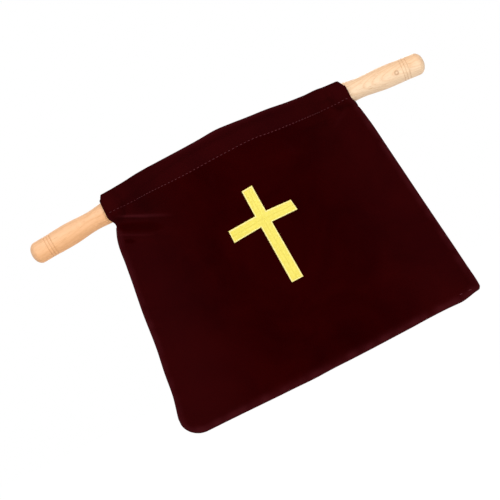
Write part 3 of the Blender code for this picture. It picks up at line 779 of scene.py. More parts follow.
def wood_material(name, handles, colour, heart, tilt, knot, orange_side_way):
    """Beech, turned and lightly waxed: pale, with growth rings cut at a slant and short dark flecks."""
    made, tree = new_material(name)
    place = add_node(tree, "TexCoord", output="Object")
    # The rings lie round the heart of the tree, and waver over about 18 mm across and 70 mm along the grain
    stretched = add_node(tree, "Mapping", {"Vector": place, "Scale": (0.014 / MM, 0.055 / MM, 0.055 / MM)})
    waver = add_node(tree, "TexNoise", {"Vector": stretched, "Scale": 1.0, "Detail": 2.0})
    grown = add_node(tree, "Mapping", {"Vector": place, "Location": heart, "Rotation": tilt})
    across = add_node(tree, "VectorMath", {"operation": "MULTIPLY", 0: grown, 1: (0.0, 1.0, 1.0)})
    away = add_node(tree, "VectorMath", {"operation": "LENGTH", 0: across}, "Value")
    bent = add_node(tree, "Math", {"operation": "MULTIPLY_ADD", 0: waver, 1: 6 * MM, 2: away})
    count = add_node(tree, "Math", {"operation": "DIVIDE", 0: bent, 1: handles.ring})
    ring = add_node(tree, "Math", {"operation": "FRACT", 0: count})
    mid = mix(colour, handles.late_wood, 0.32)
    near = mix(colour, handles.late_wood, 0.12)
    stops = ((0.0, near), (0.12, colour), (0.6, colour), (0.9, mid), (0.97, near))
    shade = add_node(tree, "ValToRGB", {"Fac": ring, "stops": stops})
    # Pores and ray flecks about 0.15 mm wide are drawn 0.7 mm wide and 7 mm long
    grain = add_node(tree, "Mapping", {"Vector": place, "Scale": (0.15 / MM, 1.5 / MM, 1.5 / MM)})
    fleck = add_node(tree, "TexNoise", {"Vector": grain, "Scale": 1.0, "Detail": 2.0, "Roughness": 0.6})
    flecked = add_node(tree, "MapRange", {"Value": fleck, "From Min": 0.56, "From Max": 0.75, "To Max": 0.5})
    # Under them lies a fine mottle, with lumps 0.4 mm wide and 1.6 mm long
    fine = add_node(tree, "TexNoise", {"Vector": stretched, "Scale": 45.0, "Detail": 3.0, "Distortion": 0.5})
    mottled = add_node(tree, "MapRange", {"Value": fine, "From Min": 0.3, "From Max": 0.7, "To Max": 0.18})
    # The wood is painted more orange towards one side: painted shade on the left handle's underside, and
    # along the top edge of the right handle
    towards = add_node(tree, "VectorMath", {"operation": "DOT_PRODUCT", 0: place, 1: orange_side_way}, "Value")
    reach = {"From Min": 1 * MM, "From Max": 10.5 * MM, "To Max": 0.5}
    orange = add_node(tree, "MapRange", {"Value": towards, **reach})
    # A knot shows as a dark ring 3.2 mm across
    knot_way = add_node(tree, "VectorMath", {"operation": "DISTANCE", 0: place, 1: knot}, "Value")
    ring_way = add_node(tree, "Math", {"operation": "SUBTRACT", 0: knot_way, 1: 1.6 * MM})
    off_ring = add_node(tree, "Math", {"operation": "ABSOLUTE", 0: ring_way})
    fade = {"From Min": 0.3 * MM, "From Max": 1 * MM, "To Min": 0.5, "To Max": 0.0}
    knotted = add_node(tree, "MapRange", {"Value": off_ring, **fade})
    # Painted shade in the grooves
    groove = add_node(tree, "Attribute", {"attribute_name": "groove"}, "Fac")
    painted_groove_shade = add_node(tree, "Math", {"operation": "MULTIPLY", 0: groove, 1: 0.32})
    marks = (
        (flecked, linear("B97F4B")), (mottled, handles.late_wood), (orange, handles.orange_side_wood),
        (knotted, linear("A8704A")), (painted_groove_shade, linear("A9713F")),
    )
    for share, other in marks:
        shade = add_node(tree, "Mix", {"data_type": "RGBA", 0: share, 6: shade, 7: other}, 2)
    gloss = add_node(tree, "MapRange", {"Value": fleck, "To Min": 0.42, "To Max": 0.6})
    bump = add_node(tree, "Bump", {"Height": fleck, "Strength": 0.12, "Distance": 0.1 * MM})
    finish = {"Roughness": gloss, "Specular IOR Level": 0.35}
    shader = add_node(tree, "BsdfPrincipled", {"Base Color": shade, "Normal": bump, **finish})
    add_node(tree, "OutputMaterial", {"Surface": shader})
    return made


# The velvet shells

# Rows up a panel: widely spaced up to a share of its height, and close together above it
PANEL_STEPS = (60, 66)
PANEL_ROWS = sum(PANEL_STEPS)
CLOSE_ROWS_FROM = 0.72
HEM_STEPS = 16
FOLD_STEPS = 10
TAIL_STEPS = 15
COLUMN_STEPS = 156
CROWDING = 0.58
ROLL_STEPS = 8
ALLOWANCE_STEPS = 4
# Width of the seam allowance left at a clipped bottom corner, and how fast it widens from there
CLIPPED = 0.0022
CLIP_SLOPE = (0.44, 0.8)
# Painted light on the velvet: a fold of this height gets full painted highlight or shade, and painted sheen
# lies along the edges, in the hem and towards the sides
FOLD_FULL_PAINT_HEIGHT = 0.0035
FOLD_UNPAINTED_HEIGHT = 0.0006
RIM_WIDTH = 0.0045
RIM_PAINTED_SHEEN = 0.6
SIDE_RIM_PAINTED_SHEEN = 0.4
HEM_PAINTED_SHEEN = 0.14
SIDE_PAINTED_SHEEN = (0.12, 0.09)
SIDE_PAINTED_SHEEN_FROM = (0.3, 0.9)
RAGGED = (0.8, 0.6)
RAGGED_SIZE = 0.008
RAGGED_SEED = 6.1


def column_places():
    """Columns from -1 to 1, closer together at the ends, where the cloth goes round the handles."""
    even = np.linspace(-1.0, 1.0, COLUMN_STEPS + 1)
    return (1 - CROWDING) * even + CROWDING * np.sin(even * math.pi / 2)


def shell_grid(face, depth):
    """Rows of points from the bottom edge, up over the hem's fold, and down inside to the hem's cut edge."""
    across = column_places()
    top_x = across * end_reach(face, across)
    top_height = hem_layer(face, top_x, 0.0, 1.0)[1]
    low = bottom_height(across)
    wide = np.linspace(0.0, CLOSE_ROWS_FROM, PANEL_STEPS[0], endpoint=False)
    close = np.linspace(CLOSE_ROWS_FROM, 1.0, PANEL_STEPS[1], endpoint=False)
    rows = []
    for share in np.concatenate([wide, close]):
        z = low + (top_height - low) * share
        x = across * grid_reach(face, across, z)
        rows.append((x, panel_out(face, x, z, depth), z))
    for share in np.linspace(0.0, 1.0, HEM_STEPS, endpoint=False):
        rows.append((top_x, *hem_layer(face, top_x, share, 1.0)))
    for turn in np.linspace(0.0, math.pi, FOLD_STEPS, endpoint=False):
        rows.append((top_x, *hem_fold(face, top_x, turn)))
    tail = TAIL_BELOW_STITCH / (fold_top(face, 0.0) - stitch_height(0.0))
    for share in np.linspace(1.0, -tail, TAIL_STEPS):
        rows.append((top_x, *hem_layer(face, top_x, share, -1.0)))
    grid = np.array(rows).transpose(0, 2, 1)
    dip = STITCH_DIP * hump(grid[..., 2] - stitch_height(grid[..., 0]), STITCH_DIP_WIDTH)
    inner = np.arange(len(rows))[:, None] >= len(rows) - TAIL_STEPS
    grid[..., 1] += np.where(inner, dip, -dip)
    return grid


def seam_strip(grid, allowance):
    """The edge of a shell rolled in to the seam, where the two shells meet at y = 0, and the allowance
    behind it. Gives the numbers of the edge's points in the grid, and the strip's own rows of points."""
    columns = grid.shape[1]
    left_top, right_top = (np.searchsorted(grid[:PANEL_ROWS, end, 2], SIDE_TOP) - 1 for end in (0, -1))
    places = [(row, 0) for row in range(left_top, 0, -1)]
    places += [(0, column) for column in range(columns)]
    places += [(row, columns - 1) for row in range(1, right_top + 1)]
    edge = np.array([grid[place] for place in places])
    flat = edge[:, [0, 2]]
    way = unit(np.gradient(flat, axis=0))
    outward = np.stack([way[:, 1], -way[:, 0]], axis=1)
    run = run_along(flat)
    width = np.full(len(places), allowance)
    for column, slope in zip((0, columns - 1), CLIP_SLOPE):
        width = np.minimum(width, CLIPPED + slope * np.abs(run - run[places.index((0, column))]))
    rolled = []
    roll = roll_radius(edge[:, 2])
    for turn in np.linspace(0.0, math.pi, ROLL_STEPS + 1)[1:]:
        point = flat + outward * (roll * math.sin(turn))[:, None]
        rolled.append((point[:, 0], edge[:, 1] * (1 + math.cos(turn)) / 2, point[:, 1]))
    for step in range(1, ALLOWANCE_STEPS + 1):
        point = flat - outward * (width * step / ALLOWANCE_STEPS)[:, None]
        rolled.append((point[:, 0], np.zeros(len(places)), point[:, 1]))
    return [row * columns + column for row, column in places], np.array(rolled).transpose(0, 2, 1)


def near_wire(points):
    """True where a point lies on the bow's wire, close to a handle."""
    x = points[:, 0]
    out, height = bow_line(x)
    away = np.hypot(points[:, 1] - out, points[:, 2] - height)
    return (away < WIRE_EXIT) & (np.abs(x) > COLLAR_GRIP[0])


def pile_lie(face, grid):
    """How the pile is painted at each point of a shell: above 0 with painted sheen or highlight, redder,
    below 0 with painted shade.
    Painted sheen lies along the edges, in the hem and a little towards the sides, painted highlight on fold
    ridges and painted shade in fold valleys."""
    x, z = grid[..., 0], grid[..., 2]
    across = column_places()[None, :]
    panel = np.arange(len(grid))[:, None] < PANEL_ROWS
    height = fold_height(face, x, z)
    crisp = np.sign(height) * np.clip(np.abs(height) - FOLD_UNPAINTED_HEIGHT, 0.0, None)
    folds = np.where(panel, crisp / FOLD_FULL_PAINT_HEIGHT, HEM_PAINTED_SHEEN)
    side = SIDE_RIM_PAINTED_SHEEN * hump(grid_reach(face, x, z) - np.abs(x), RIM_WIDTH)
    bottom = RIM_PAINTED_SHEEN * hump(z - bottom_height(across), RIM_WIDTH)
    ragged = RAGGED[0] + RAGGED[1] * wander(x, z, RAGGED_SIZE, RAGGED_SEED)
    rim = np.where(panel, ragged * np.maximum(side, bottom), 0.0)
    wide = by_side(across, SIDE_PAINTED_SHEEN) * smoothstep(*SIDE_PAINTED_SHEEN_FROM, np.abs(across)) * panel
    lie = folds + np.maximum(rim, wide)
    # Painted sheen on the hem's top fold, strongest on its crest
    first = PANEL_ROWS + HEM_STEPS
    turn = np.linspace(0.0, math.pi, FOLD_STEPS, endpoint=False)[:, None]
    lie[first : first + FOLD_STEPS] = HEM_PAINTED_SHEEN + (RIM_PAINTED_SHEEN - HEM_PAINTED_SHEEN) * np.sin(turn) ** 2
    return lie


def build_shell(face, cloth, looks):
    """One side of the bag: its velvet from the seams up over the wire and down inside the hem."""
    grid = shell_grid(face, cloth.drape)
    rows, columns, _ = grid.shape
    edge, strip = seam_strip(grid, cloth.seam_allowance)
    points = np.concatenate([grid.reshape(-1, 3), strip.reshape(-1, 3)])
    faces = grid_faces(point_numbers(rows, columns))
    # The wire leaves the hem through a hole in its inner layer
    inner = faces[:, 0] >= (rows - TAIL_STEPS - 1) * columns
    faces = faces[~(near_wire(points[faces].mean(axis=1)) & inner)]
    sewn = np.concatenate([[edge], point_numbers(len(strip), len(edge), rows * columns)])
    faces = np.concatenate([faces, grid_faces(sewn, flip=True)])
    lengths = np.linalg.norm(np.diff(grid, axis=0), axis=2)
    run = np.concatenate([np.zeros((1, columns)), np.cumsum(lengths, axis=0)])
    flat = np.stack([grid[..., 0], run, np.zeros_like(run)], axis=-1).reshape(-1, 3)
    strip_flat = np.stack([strip[..., 0], -strip[..., 2], strip[..., 1]], axis=-1).reshape(-1, 3)
    # Painted sheen on the rolled seam edge
    rolled = np.zeros(strip.shape[:2])
    rolled[:ROLL_STEPS] = RIM_PAINTED_SHEEN
    attributes = {
        "cloth_place": np.concatenate([flat, strip_flat]),
        "pile_lie": np.concatenate([pile_lie(face, grid).ravel(), rolled.ravel()]),
    }
    side = FACES[face]
    faces = faces[:, ::-1] if side > 0 else faces
    shell = add_mesh(f"{face}_velvet", points * (1.0, side, 1.0), faces, looks, **attributes)
    thicken(shell, cloth.thickness, material_step=1)
    bend_with_bow(shell)
    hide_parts(f"{face}_panel", f"{face}_hem_sleeve", f"left_{face}_hem_end", f"right_{face}_hem_end")
    return shell


class OBJECT_OT_velvet_shells(bpy.types.Operator):
    """Make the front and back velvet shells, each with its hem and seam allowances"""

    bl_idname = "offertory_bag.velvet_shells"
    bl_label = "Velvet shells"

    def execute(self, context):
        cloth = context.scene.offertory_cloth
        looks = [velvet_material(cloth), cloth_back_material(cloth)]
        for face in FACES:
            shell = build_shell(face, cloth, looks)
        return {"FINISHED"}


# The wires and the threads

WIRE_STEPS = 121
WIRE_SIDES = 20
WIRE_EDGE = math.radians(50)
# The hem's row of stitches: from where to where, and how closely it is measured
STITCH_SPAN = (-0.1185, 0.1195)
STITCH_MEASURES = 1500
STITCH_POINTS = 7
# The part of its length that a stitch shows, and how unevenly it is pulled
STITCH_SHOWS = (0.23, 0.77)
STITCH_WOBBLE = 0.08
WOBBLE_TURN = 2.3
WOBBLE_AT_END = 0.3
# How deep a stitch's ends lie in the cloth and how far its middle stands out, in thread radii
STITCH_SUNK = 0.44
STITCH_PROUD = 1.32
STITCH_THIN = 0.55
THREAD_SIDES = 7
# The overlock on the seams' cut edges, and the seam's own stitches beside it
OVERLOCK_PITCH = 0.0026
OVERLOCK_WIDTH = 0.0048
OVERLOCK_THREAD = 0.7
OVERLOCK_TURN = 0.0006
OVERLOCK_SIDES = 5
SEAM_STITCH_IN = 0.0012
SEAM_STITCH_SHOWS = (0.1, 0.9)
SEAM_STITCH_ARCH = np.array([-0.6, 0.6, 0.6, -0.6])
SEAM_STITCH_THREAD = 0.8
SEAM_STITCH_SIDES = 6
# Where the side threads and the bottom thread start and end, and how closely their seams are measured
SIDE_THREAD = (SIDE_TOP - 0.003, 0.022, 60)
BOTTOM_THREAD = (-0.84, 0.9, 80)
# Two tack stitches that close the bottom's turning gap: from x to x, and their height
TACKS = ((0.1304, 0.1334, 0.0069), (0.1392, 0.1422, 0.0067))
TACK_ARCH = np.array([-0.9, 0.6, 1.0, 1.0, 0.6, -0.9])
TACK_RISE = 0.0004
TACK_THREAD = 0.9


class OBJECT_OT_wire_bows(bpy.types.Operator):
    """Make the two steel wire bows that run in the hem from handle to handle"""

    bl_idname = "offertory_bag.wire_bows"
    bl_label = "Wire bows"

    def execute(self, context):
        steel = steel_material()
        x = np.concatenate([[-WIRE_END], np.linspace(-COLLAR_FACE, COLLAR_FACE, WIRE_STEPS), [WIRE_END]])
        out, height = bow_line(x)
        for face, side in FACES.items():
            path = np.stack([x, side * out, height], axis=1)
            wire = add_mesh(f"{face}_wire", *sweep(path, WIRE_RADIUS, WIRE_SIDES), [steel])
            wire.data.set_sharp_from_angle(angle=WIRE_EDGE)
            bend_with_bow(wire)
            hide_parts(f"{face}_bow_wire")
        return {"FINISHED"}


def stitch_run(face, x, layer, lift):
    """Points on the stitch line of a hem layer, lifted off the cloth's face."""
    out, height = hem_layer(face, x, 0.0, layer)
    across, up = hem_outward(face, x, 0.0)
    rise = (lift - STITCH_DIP) * layer
    return np.stack([x, FACES[face] * (out + across * rise), height + up * rise], axis=1)


def hem_stitches(face, thread):
    """Separate stitches along the hem, on its outer and inner face."""
    fine = np.linspace(*STITCH_SPAN, STITCH_MEASURES)
    arch = np.sin(np.linspace(0, math.pi, STITCH_POINTS)) ** 0.5
    lift = thread.radius * ((STITCH_PROUD + STITCH_SUNK) * arch - STITCH_SUNK)
    radii = thread.radius * (STITCH_THIN + (1 - STITCH_THIN) * arch)
    parts = []
    for layer in (1.0, -1.0):
        run = run_along(stitch_run(face, fine, layer, 0.0))
        for i in range(int(run[-1] / thread.pitch)):
            wobble = STITCH_WOBBLE * math.sin(WOBBLE_TURN * i + layer)
            share = np.linspace(STITCH_SHOWS[0], STITCH_SHOWS[1] + wobble * WOBBLE_AT_END, STITCH_POINTS)
            x = np.interp((i + share) * thread.pitch, run, fine)
            points = stitch_run(face, x, layer, lift)
            points[:, 2] += wobble * thread.radius
            parts.append(sweep(points, radii, THREAD_SIDES))
    return join(parts)


class OBJECT_OT_hem_stitches(bpy.types.Operator):
    """Make the row of machine stitches under each hem"""

    bl_idname = "offertory_bag.hem_stitches"
    bl_label = "Hem stitches"

    def execute(self, context):
        thread = context.scene.offertory_thread
        look = sewing_thread_material("red_spun_polyester_thread", thread.hem_colour)
        for face in FACES:
            row = add_mesh(f"{face}_hem_stitches", *hem_stitches(face, thread), [look])
            bend_with_bow(row)
            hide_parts(f"{face}_hem_stitching")
        return {"FINISHED"}


def overlock(line, inward, cloth, thread):
    """Thread wound over the edge of two layers of cloth along a seam, and the seam's own line of stitches.
    Line holds points of the seam in x and z, and inward the way from each of them to the cut edge."""
    run = run_along(line)

    def place(along, depth, out):
        """Points at a run along the seam, a depth in from it, and out from the middle of the cloth."""
        x, z = (
            np.interp(along, run, line[:, k]) + np.interp(along, run, inward[:, k]) * depth for k in (0, 1)
        )
        return np.stack([x, out, z], axis=1)

    gap = thread.radius * OVERLOCK_THREAD
    face_out = cloth.thickness + gap
    deep = cloth.seam_allowance + gap
    shallow = cloth.seam_allowance - OVERLOCK_WIDTH
    middle = (shallow + deep) / 2
    # One turn of thread: across the front, round the cut edge, and back across the other face
    loop = ((0.0, shallow, -1.0), (0.1, middle, -1.05), (0.3, deep - OVERLOCK_TURN, -0.95),
            (0.4, deep, -0.45), (0.45, deep, 0.45), (0.55, deep - OVERLOCK_TURN, 0.95),
            (0.75, middle, 1.05), (0.88, shallow, 1.0), (0.94, shallow - OVERLOCK_TURN / 3, 0.0))
    turns = int(run[-1] / OVERLOCK_PITCH)
    step, depth, out = np.tile(np.array(loop).T, turns)
    along = (step + np.repeat(np.arange(turns), len(loop))) * OVERLOCK_PITCH
    parts = [sweep(place(along, depth, out * face_out), gap, OVERLOCK_SIDES)]
    for side in FACES.values():
        for i in range(int(run[-1] / thread.pitch)):
            along = (i + np.linspace(*SEAM_STITCH_SHOWS, len(SEAM_STITCH_ARCH))) * thread.pitch
            points = place(along, SEAM_STITCH_IN, side * (face_out + SEAM_STITCH_ARCH * thread.radius))
            parts.append(sweep(points, thread.radius * SEAM_STITCH_THREAD, SEAM_STITCH_SIDES))
    return join(parts)


def tack_stitches(cloth, thread):
    """Two short tack stitches that close the bottom's turning gap, near the right corner."""
    parts = []
    for start_x, end_x, z in TACKS:
        x = np.linspace(start_x, end_x, len(TACK_ARCH))
        up = z + TACK_RISE * np.sin(np.linspace(0, math.pi, len(TACK_ARCH)))
        points = on_front(x, up, TACK_ARCH * thread.radius, cloth.drape)
        parts.append(sweep(points, thread.radius * TACK_THREAD, THREAD_SIDES))
    return parts


class OBJECT_OT_seams(bpy.types.Operator):
    """Make the overlock and seam threads of the side seams and the bottom seam"""

    bl_idname = "offertory_bag.seams"
    bl_label = "Seams"

    def execute(self, context):
        cloth = context.scene.offertory_cloth
        thread = context.scene.offertory_thread
        look = sewing_thread_material("dark_red_overlock_thread", thread.seam_colour)
        z = np.linspace(*SIDE_THREAD)
        for name, side in SIDES.items():
            line = np.stack([side * grid_reach("front", np.full_like(z, side), z), z], axis=1)
            inward = np.full_like(line, (-side, 0.0))
            seam = add_mesh(f"{name}_seam_thread", *overlock(line, inward, cloth, thread), [look])
            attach(seam, "bag")
            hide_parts(f"{name}_side_seam")
        across = np.linspace(*BOTTOM_THREAD)
        line = np.stack([across * grid_reach("front", across, 0.0), bottom_height(across)], axis=1)
        inward = np.full_like(line, (0.0, 1.0))
        parts = [overlock(line, inward, cloth, thread), *tack_stitches(cloth, thread)]
        seam = add_mesh("bottom_seam_thread", *join(parts), [look])
        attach(seam, "bag")
        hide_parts("bottom_seam")
        return {"FINISHED"}


# The cross

# Where its bars cross, in x and z, how far they lean or droop, and half their widths at their ends
CROSS_MIDDLE = (0.001, 0.1468)
UPRIGHT_TILT = math.radians(2.9)
FOOT_TILT = math.radians(3.6)
ARMS_TILT = math.radians(1.0)
ARMS_DROOP = 0.0011
HALF_WIDTHS = {"top": 0.0053, "foot": 0.0059, "left": 0.0059, "right": 0.00525}
TOP_END_SKEW = 0.0003
RIGHT_END_SKEW = 0.0008
# The cross's skin: points across a bar, points along for each thread, and how far it sinks into the pile
CROSS_STEPS = 45
STEPS_PER_THREAD = 4.5
SKIN_SINK = 0.0002
WELD = 0.00001
# Satin stitches: how far they slant back, and the raised border with a groove inside it
STITCH_SLANT = 0.0016
CROSSING_SHIFT = 0.0003
SOFT_EDGE = 0.0011
BORDER_PLACE = 0.0008
BORDER_WIDTH = 0.0005
GROOVE_PLACE = 0.0014
CROSS_GROOVE_WIDTH = 0.0003
CROSS_GROOVE_DEPTH = 0.00012
MIDDLE_WIDTH = 0.07
MIDDLE_DEPTH = 0.0001
THREAD_RELIEF = 0.0001
RELIEF_LEVEL = 0.6
FILL_HEIGHT = 0.8
FILL_ROWS = 4
# Painted light on the satin: how bright the fill is, and the painted highlight or painted shade that the
# parts of a stitch and of the cross add to that or take off
FILL_SHINE = 0.36
TOP_SHINE = 0.18
BORDER_SHINE = 0.55
GROOVE_SHADE = 0.16
MIDDLE_SHADE = 0.12
ROW_SHADE = 0.12
ROW_SHADE_EVEN = 0.4
# Numbers that scatter the stitches' tones
SCATTER = (12.9898, 4.1, 43758.5453)
# The backing: how far behind the cloth it lies, its thickness, its points, and the depth, size and seed
# of its ripples
BACKING_GAP = 0.0006
BACKING_THICKNESS = 0.0004
BACKING_STEPS = (84, 60)
RIPPLES = ((0.0003, 0.011, 2.2), (0.0002, 0.005, 7.4))


def cross_corners(cross):
    """The crossing's four corners and each arm's two near and two far corners, in x and z."""
    middle = np.array(CROSS_MIDDLE)
    up = np.array([-math.sin(UPRIGHT_TILT), math.cos(UPRIGHT_TILT)])
    down = np.array([math.sin(FOOT_TILT), -math.cos(FOOT_TILT)])
    droop = np.array([0.0, -ARMS_DROOP])
    right = np.array([math.cos(ARMS_TILT), math.sin(ARMS_TILT)])
    arm_up = np.array([-right[1], right[0]])
    share = cross.above / (cross.above + cross.below)
    upright = HALF_WIDTHS["top"] + (HALF_WIDTHS["foot"] - HALF_WIDTHS["top"]) * share
    arm = (HALF_WIDTHS["left"] + HALF_WIDTHS["right"]) / 2
    sides = ((-1, -1), (-1, 1), (1, -1), (1, 1))
    crossing = [middle + right * upright * i + up * arm * j for i, j in sides]
    low_left, high_left, low_right, high_right = crossing
    top = middle + up * cross.above
    foot = middle + down * cross.below
    left_end = middle - right * cross.left + droop
    right_end = middle + right * cross.right + droop
    arms = {
        "top": (high_left, high_right, top, right * HALF_WIDTHS["top"] + up * TOP_END_SKEW),
        "foot": (low_left, low_right, foot, right * HALF_WIDTHS["foot"]),
        "left": (low_left, high_left, left_end, arm_up * HALF_WIDTHS["left"]),
        "right": (low_right, high_right, right_end, arm_up * HALF_WIDTHS["right"] - right * RIGHT_END_SKEW),
    }
    arms = {name: (*near, end - half, end + half) for name, (*near, end, half) in arms.items()}
    return crossing, arms


def satin(u, v, to_edge, cross):
    """Height, shine and tone of satin stitches that slant back from a bar's middle line.
    u runs along the bar in metres, v across it from -1 to 1, to_edge is the way to the outline."""
    number = (u + STITCH_SLANT * np.abs(v)) / cross.thread
    stitch = np.floor(number)
    top = arc(2 * (number - stitch) - 1)
    tone = np.modf(np.sin(stitch * SCATTER[0] + np.sign(v) * SCATTER[1]) * SCATTER[2])[0] * 0.5 + 0.5
    round_edge = arc(1 - np.clip(to_edge / SOFT_EDGE, 0.0, 1.0))
    border = hump(to_edge - BORDER_PLACE, BORDER_WIDTH)
    groove = hump(to_edge - GROOVE_PLACE, CROSS_GROOVE_WIDTH)
    middle = hump(v, MIDDLE_WIDTH)
    rows = 0.5 + 0.5 * np.cos(v * math.pi * FILL_ROWS)
    height = cross.height * round_edge * (FILL_HEIGHT + (1 - FILL_HEIGHT) * border)
    height = height - CROSS_GROOVE_DEPTH * groove - MIDDLE_DEPTH * middle
    height = height + THREAD_RELIEF * (top - RELIEF_LEVEL) * (0.5 + tone) * round_edge
    # Painted highlight on each stitch's top and on the raised border, painted shade in the groove, on the
    # middle line and between the rows
    shine = FILL_SHINE + TOP_SHINE * top + BORDER_SHINE * border
    shine = shine - GROOVE_SHADE * groove - MIDDLE_SHADE * middle
    shine = shine - ROW_SHADE * rows * (1 - border) * (ROW_SHADE_EVEN + (1 - ROW_SHADE_EVEN) * tone)
    return height, np.clip(shine, 0.0, 1.0), tone


def cross_patch(corners, cross, counts, arm):
    """A grid of points over one arm or the crossing, with its stitches' heights, shines and tones."""
    near_low, near_high, far_low, far_high = corners
    s, t = np.meshgrid(np.linspace(0, 1, counts[0]), np.linspace(0, 1, counts[1]), indexing="ij")
    near = near_low + (near_high - near_low) * t[..., None]
    far = far_low + (far_high - far_low) * t[..., None]
    flat = near + (far - near) * s[..., None]
    length = np.linalg.norm((far_low + far_high - near_low - near_high) / 2)
    width = np.linalg.norm(near_high - near_low)
    v = 2 * t - 1
    if arm:
        to_edge = np.minimum((1 - np.abs(v)) * width / 2, (1 - s) * length)
        return (flat, *satin(s * length, v, to_edge, cross))
    w = 2 * s - 1
    to_edge = np.hypot((1 - np.abs(v)) * width / 2, (1 - np.abs(w)) * length / 2)
    lengthways = np.abs(w) > np.abs(v)
    along = np.where(lengthways, np.abs(w) * length / 2, np.abs(v) * width / 2)
    return (flat, *satin(along + CROSSING_SHIFT, np.where(lengthways, v, w), to_edge, cross))


def cross_mesh(cross, depth):
    """The whole cross as one skin, closed against the velvet behind it."""
    crossing, arms = cross_corners(cross)
    patches = []
    for name, corners in arms.items():
        length = np.linalg.norm((corners[2] + corners[3] - corners[0] - corners[1]) / 2)
        steps = int(length / cross.thread * STEPS_PER_THREAD)
        patches.append((cross_patch(corners, cross, (steps, CROSS_STEPS), True), name in ("foot", "right")))
    patches.append((cross_patch(crossing, cross, (CROSS_STEPS, CROSS_STEPS), False), False))
    verts, faces, shines, tones = [], [], [], []
    start = 0
    for (flat, height, shine, tone), flip in patches:
        for layer in (1, 0):
            points = on_front(flat[..., 0], flat[..., 1], height * layer - SKIN_SINK, depth)
            verts.append(points.reshape(-1, 3))
            faces += grid_faces(point_numbers(*height.shape, start), flip == bool(layer)).tolist()
            shines.append(shine.ravel())
            tones.append(tone.ravel())
            start += height.size
    return np.concatenate(verts), faces, np.concatenate(shines), np.concatenate(tones)


class OBJECT_OT_cross(bpy.types.Operator):
    """Make the satin-stitch cross on the front"""

    bl_idname = "offertory_bag.cross"
    bl_label = "Cross"

    def execute(self, context):
        cross = context.scene.offertory_cross
        verts, faces, shine, tone = cross_mesh(cross, context.scene.offertory_cloth.drape)
        look = satin_material(cross)
        made = add_mesh("satin_cross", verts, faces, [look], thread_top=shine, thread_tone=tone)
        bm = bmesh.new()
        bm.from_mesh(made.data)
        bmesh.ops.remove_doubles(bm, verts=bm.verts, dist=WELD)
        bmesh.ops.recalc_face_normals(bm, faces=bm.faces)
        bm.to_mesh(made.data)
        bm.free()
        made.data.shade_smooth()
        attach(made, "bag")
        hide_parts("cross_embroidery")
        return {"FINISHED"}


class OBJECT_OT_backing(bpy.types.Operator):
    """Make the backing sheet behind the cross"""

    bl_idname = "offertory_bag.backing"
    bl_label = "Backing"

    def execute(self, context):
        cloth = context.scene.offertory_cloth
        low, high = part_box("cross_backing")
        rows, columns = BACKING_STEPS
        x, z = np.meshgrid(np.linspace(low.x, high.x, columns), np.linspace(low.z, high.z, rows))
        ripple = sum(depth * wander(x, z, size, seed) for depth, size, seed in RIPPLES)
        points = on_front(x, z, -(cloth.thickness + BACKING_GAP + ripple), cloth.drape).reshape(-1, 3)
        faces = grid_faces(point_numbers(rows, columns))
        sheet = add_mesh("backing_sheet", points, faces, [backing_material()])
        thicken(sheet, BACKING_THICKNESS)
        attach(sheet, "bag")
        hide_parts("cross_backing")
        return {"FINISHED"}


# The turned handles

# The rounding at the collar's face, the domed tip, and the grooves before it
EDGE_ROUND = 0.0006
DOME_LENGTH = 0.0075
DOME_START = HANDLE_LENGTH - DOME_LENGTH
DOME_POWER = 1.1
GROOVES = 3
GROOVE_PITCH = 0.0028
GROOVE_WIDTH = 0.0011
GROOVE_DEPTH = 0.0003
GROOVES_END = HANDLE_LENGTH - 0.0165
GROOVES_START = GROOVES_END - (GROOVES - 1) * GROOVE_PITCH
TIP_RADIUS = 0.0101
# Collar, neck, barrel and tip, as place along the handle and radius
HANDLE_OUTLINE = (
    (0.0, COLLAR_RADIUS), (0.0063, COLLAR_RADIUS), (0.021, 0.0092), (0.046, 0.0105),
    (GROOVES_END, TIP_RADIUS), (HANDLE_LENGTH, TIP_RADIUS),
)
# Rings over the rounded edge, the plain wood, the grooves and the wood beyond, and over the dome
STRETCH_ENDS = (0.0, EDGE_ROUND, GROOVES_START - GROOVE_WIDTH, GROOVES_END + GROOVE_WIDTH, DOME_START)
STRETCH_STEPS = (6, 60, 66, 10)
DOME_STEPS = 20
BORE_SIDES = 32
HANDLE_EDGE = math.radians(35)
# How each handle was cut: the way to the tree's heart, the slant of the grain, a knot, and the side painted
# more orange (painted shade on the left handle's underside)
CUTS = {
    "left": {"heart": (0.0, 0.011, 0.016), "tilt": (0.4, 0.05, 0.06), "knot": (0.03, 0.0, -0.0105),
             "orange_side_way": (0.0, 0.3, -0.95)},
    "right": {"heart": (0.0, 0.03, 0.004), "tilt": (0.0, 0.07, -0.16), "knot": (0.0567, -0.0101, -0.0009),
              "orange_side_way": (0.04, 0.0, 0.6)},
}


def handle_radius(place):
    """The turned outline: collar, neck, barrel, three grooves and a domed tip. Also how deep in a groove."""
    start = np.clip(EDGE_ROUND - place, 0.0, EDGE_ROUND)
    radius = through(HANDLE_OUTLINE, place) - EDGE_ROUND + np.sqrt(EDGE_ROUND**2 - start**2)
    dome = np.clip((place - DOME_START) / DOME_LENGTH, 0.0, 1.0)
    radius = radius * arc(dome**DOME_POWER)
    groove = np.zeros_like(place)
    for i in range(GROOVES):
        off = (place - GROOVES_START - i * GROOVE_PITCH) / (GROOVE_WIDTH / 2)
        groove = np.maximum(groove, np.clip(1 - off**2, 0.0, 1.0))
    return radius - GROOVE_DEPTH * groove, groove


def handle_places():
    """Places along the handle, close together at its rounded edge, grooves and dome."""
    stretches = [[0.0]]
    for start, end, steps in zip(STRETCH_ENDS, STRETCH_ENDS[1:], STRETCH_STEPS):
        stretches.append(np.linspace(start, end, steps)[1:])
    stretches.append(DOME_START + DOME_LENGTH * np.sin(np.linspace(0, math.pi / 2, DOME_STEPS))[1:-1])
    return np.concatenate(stretches)


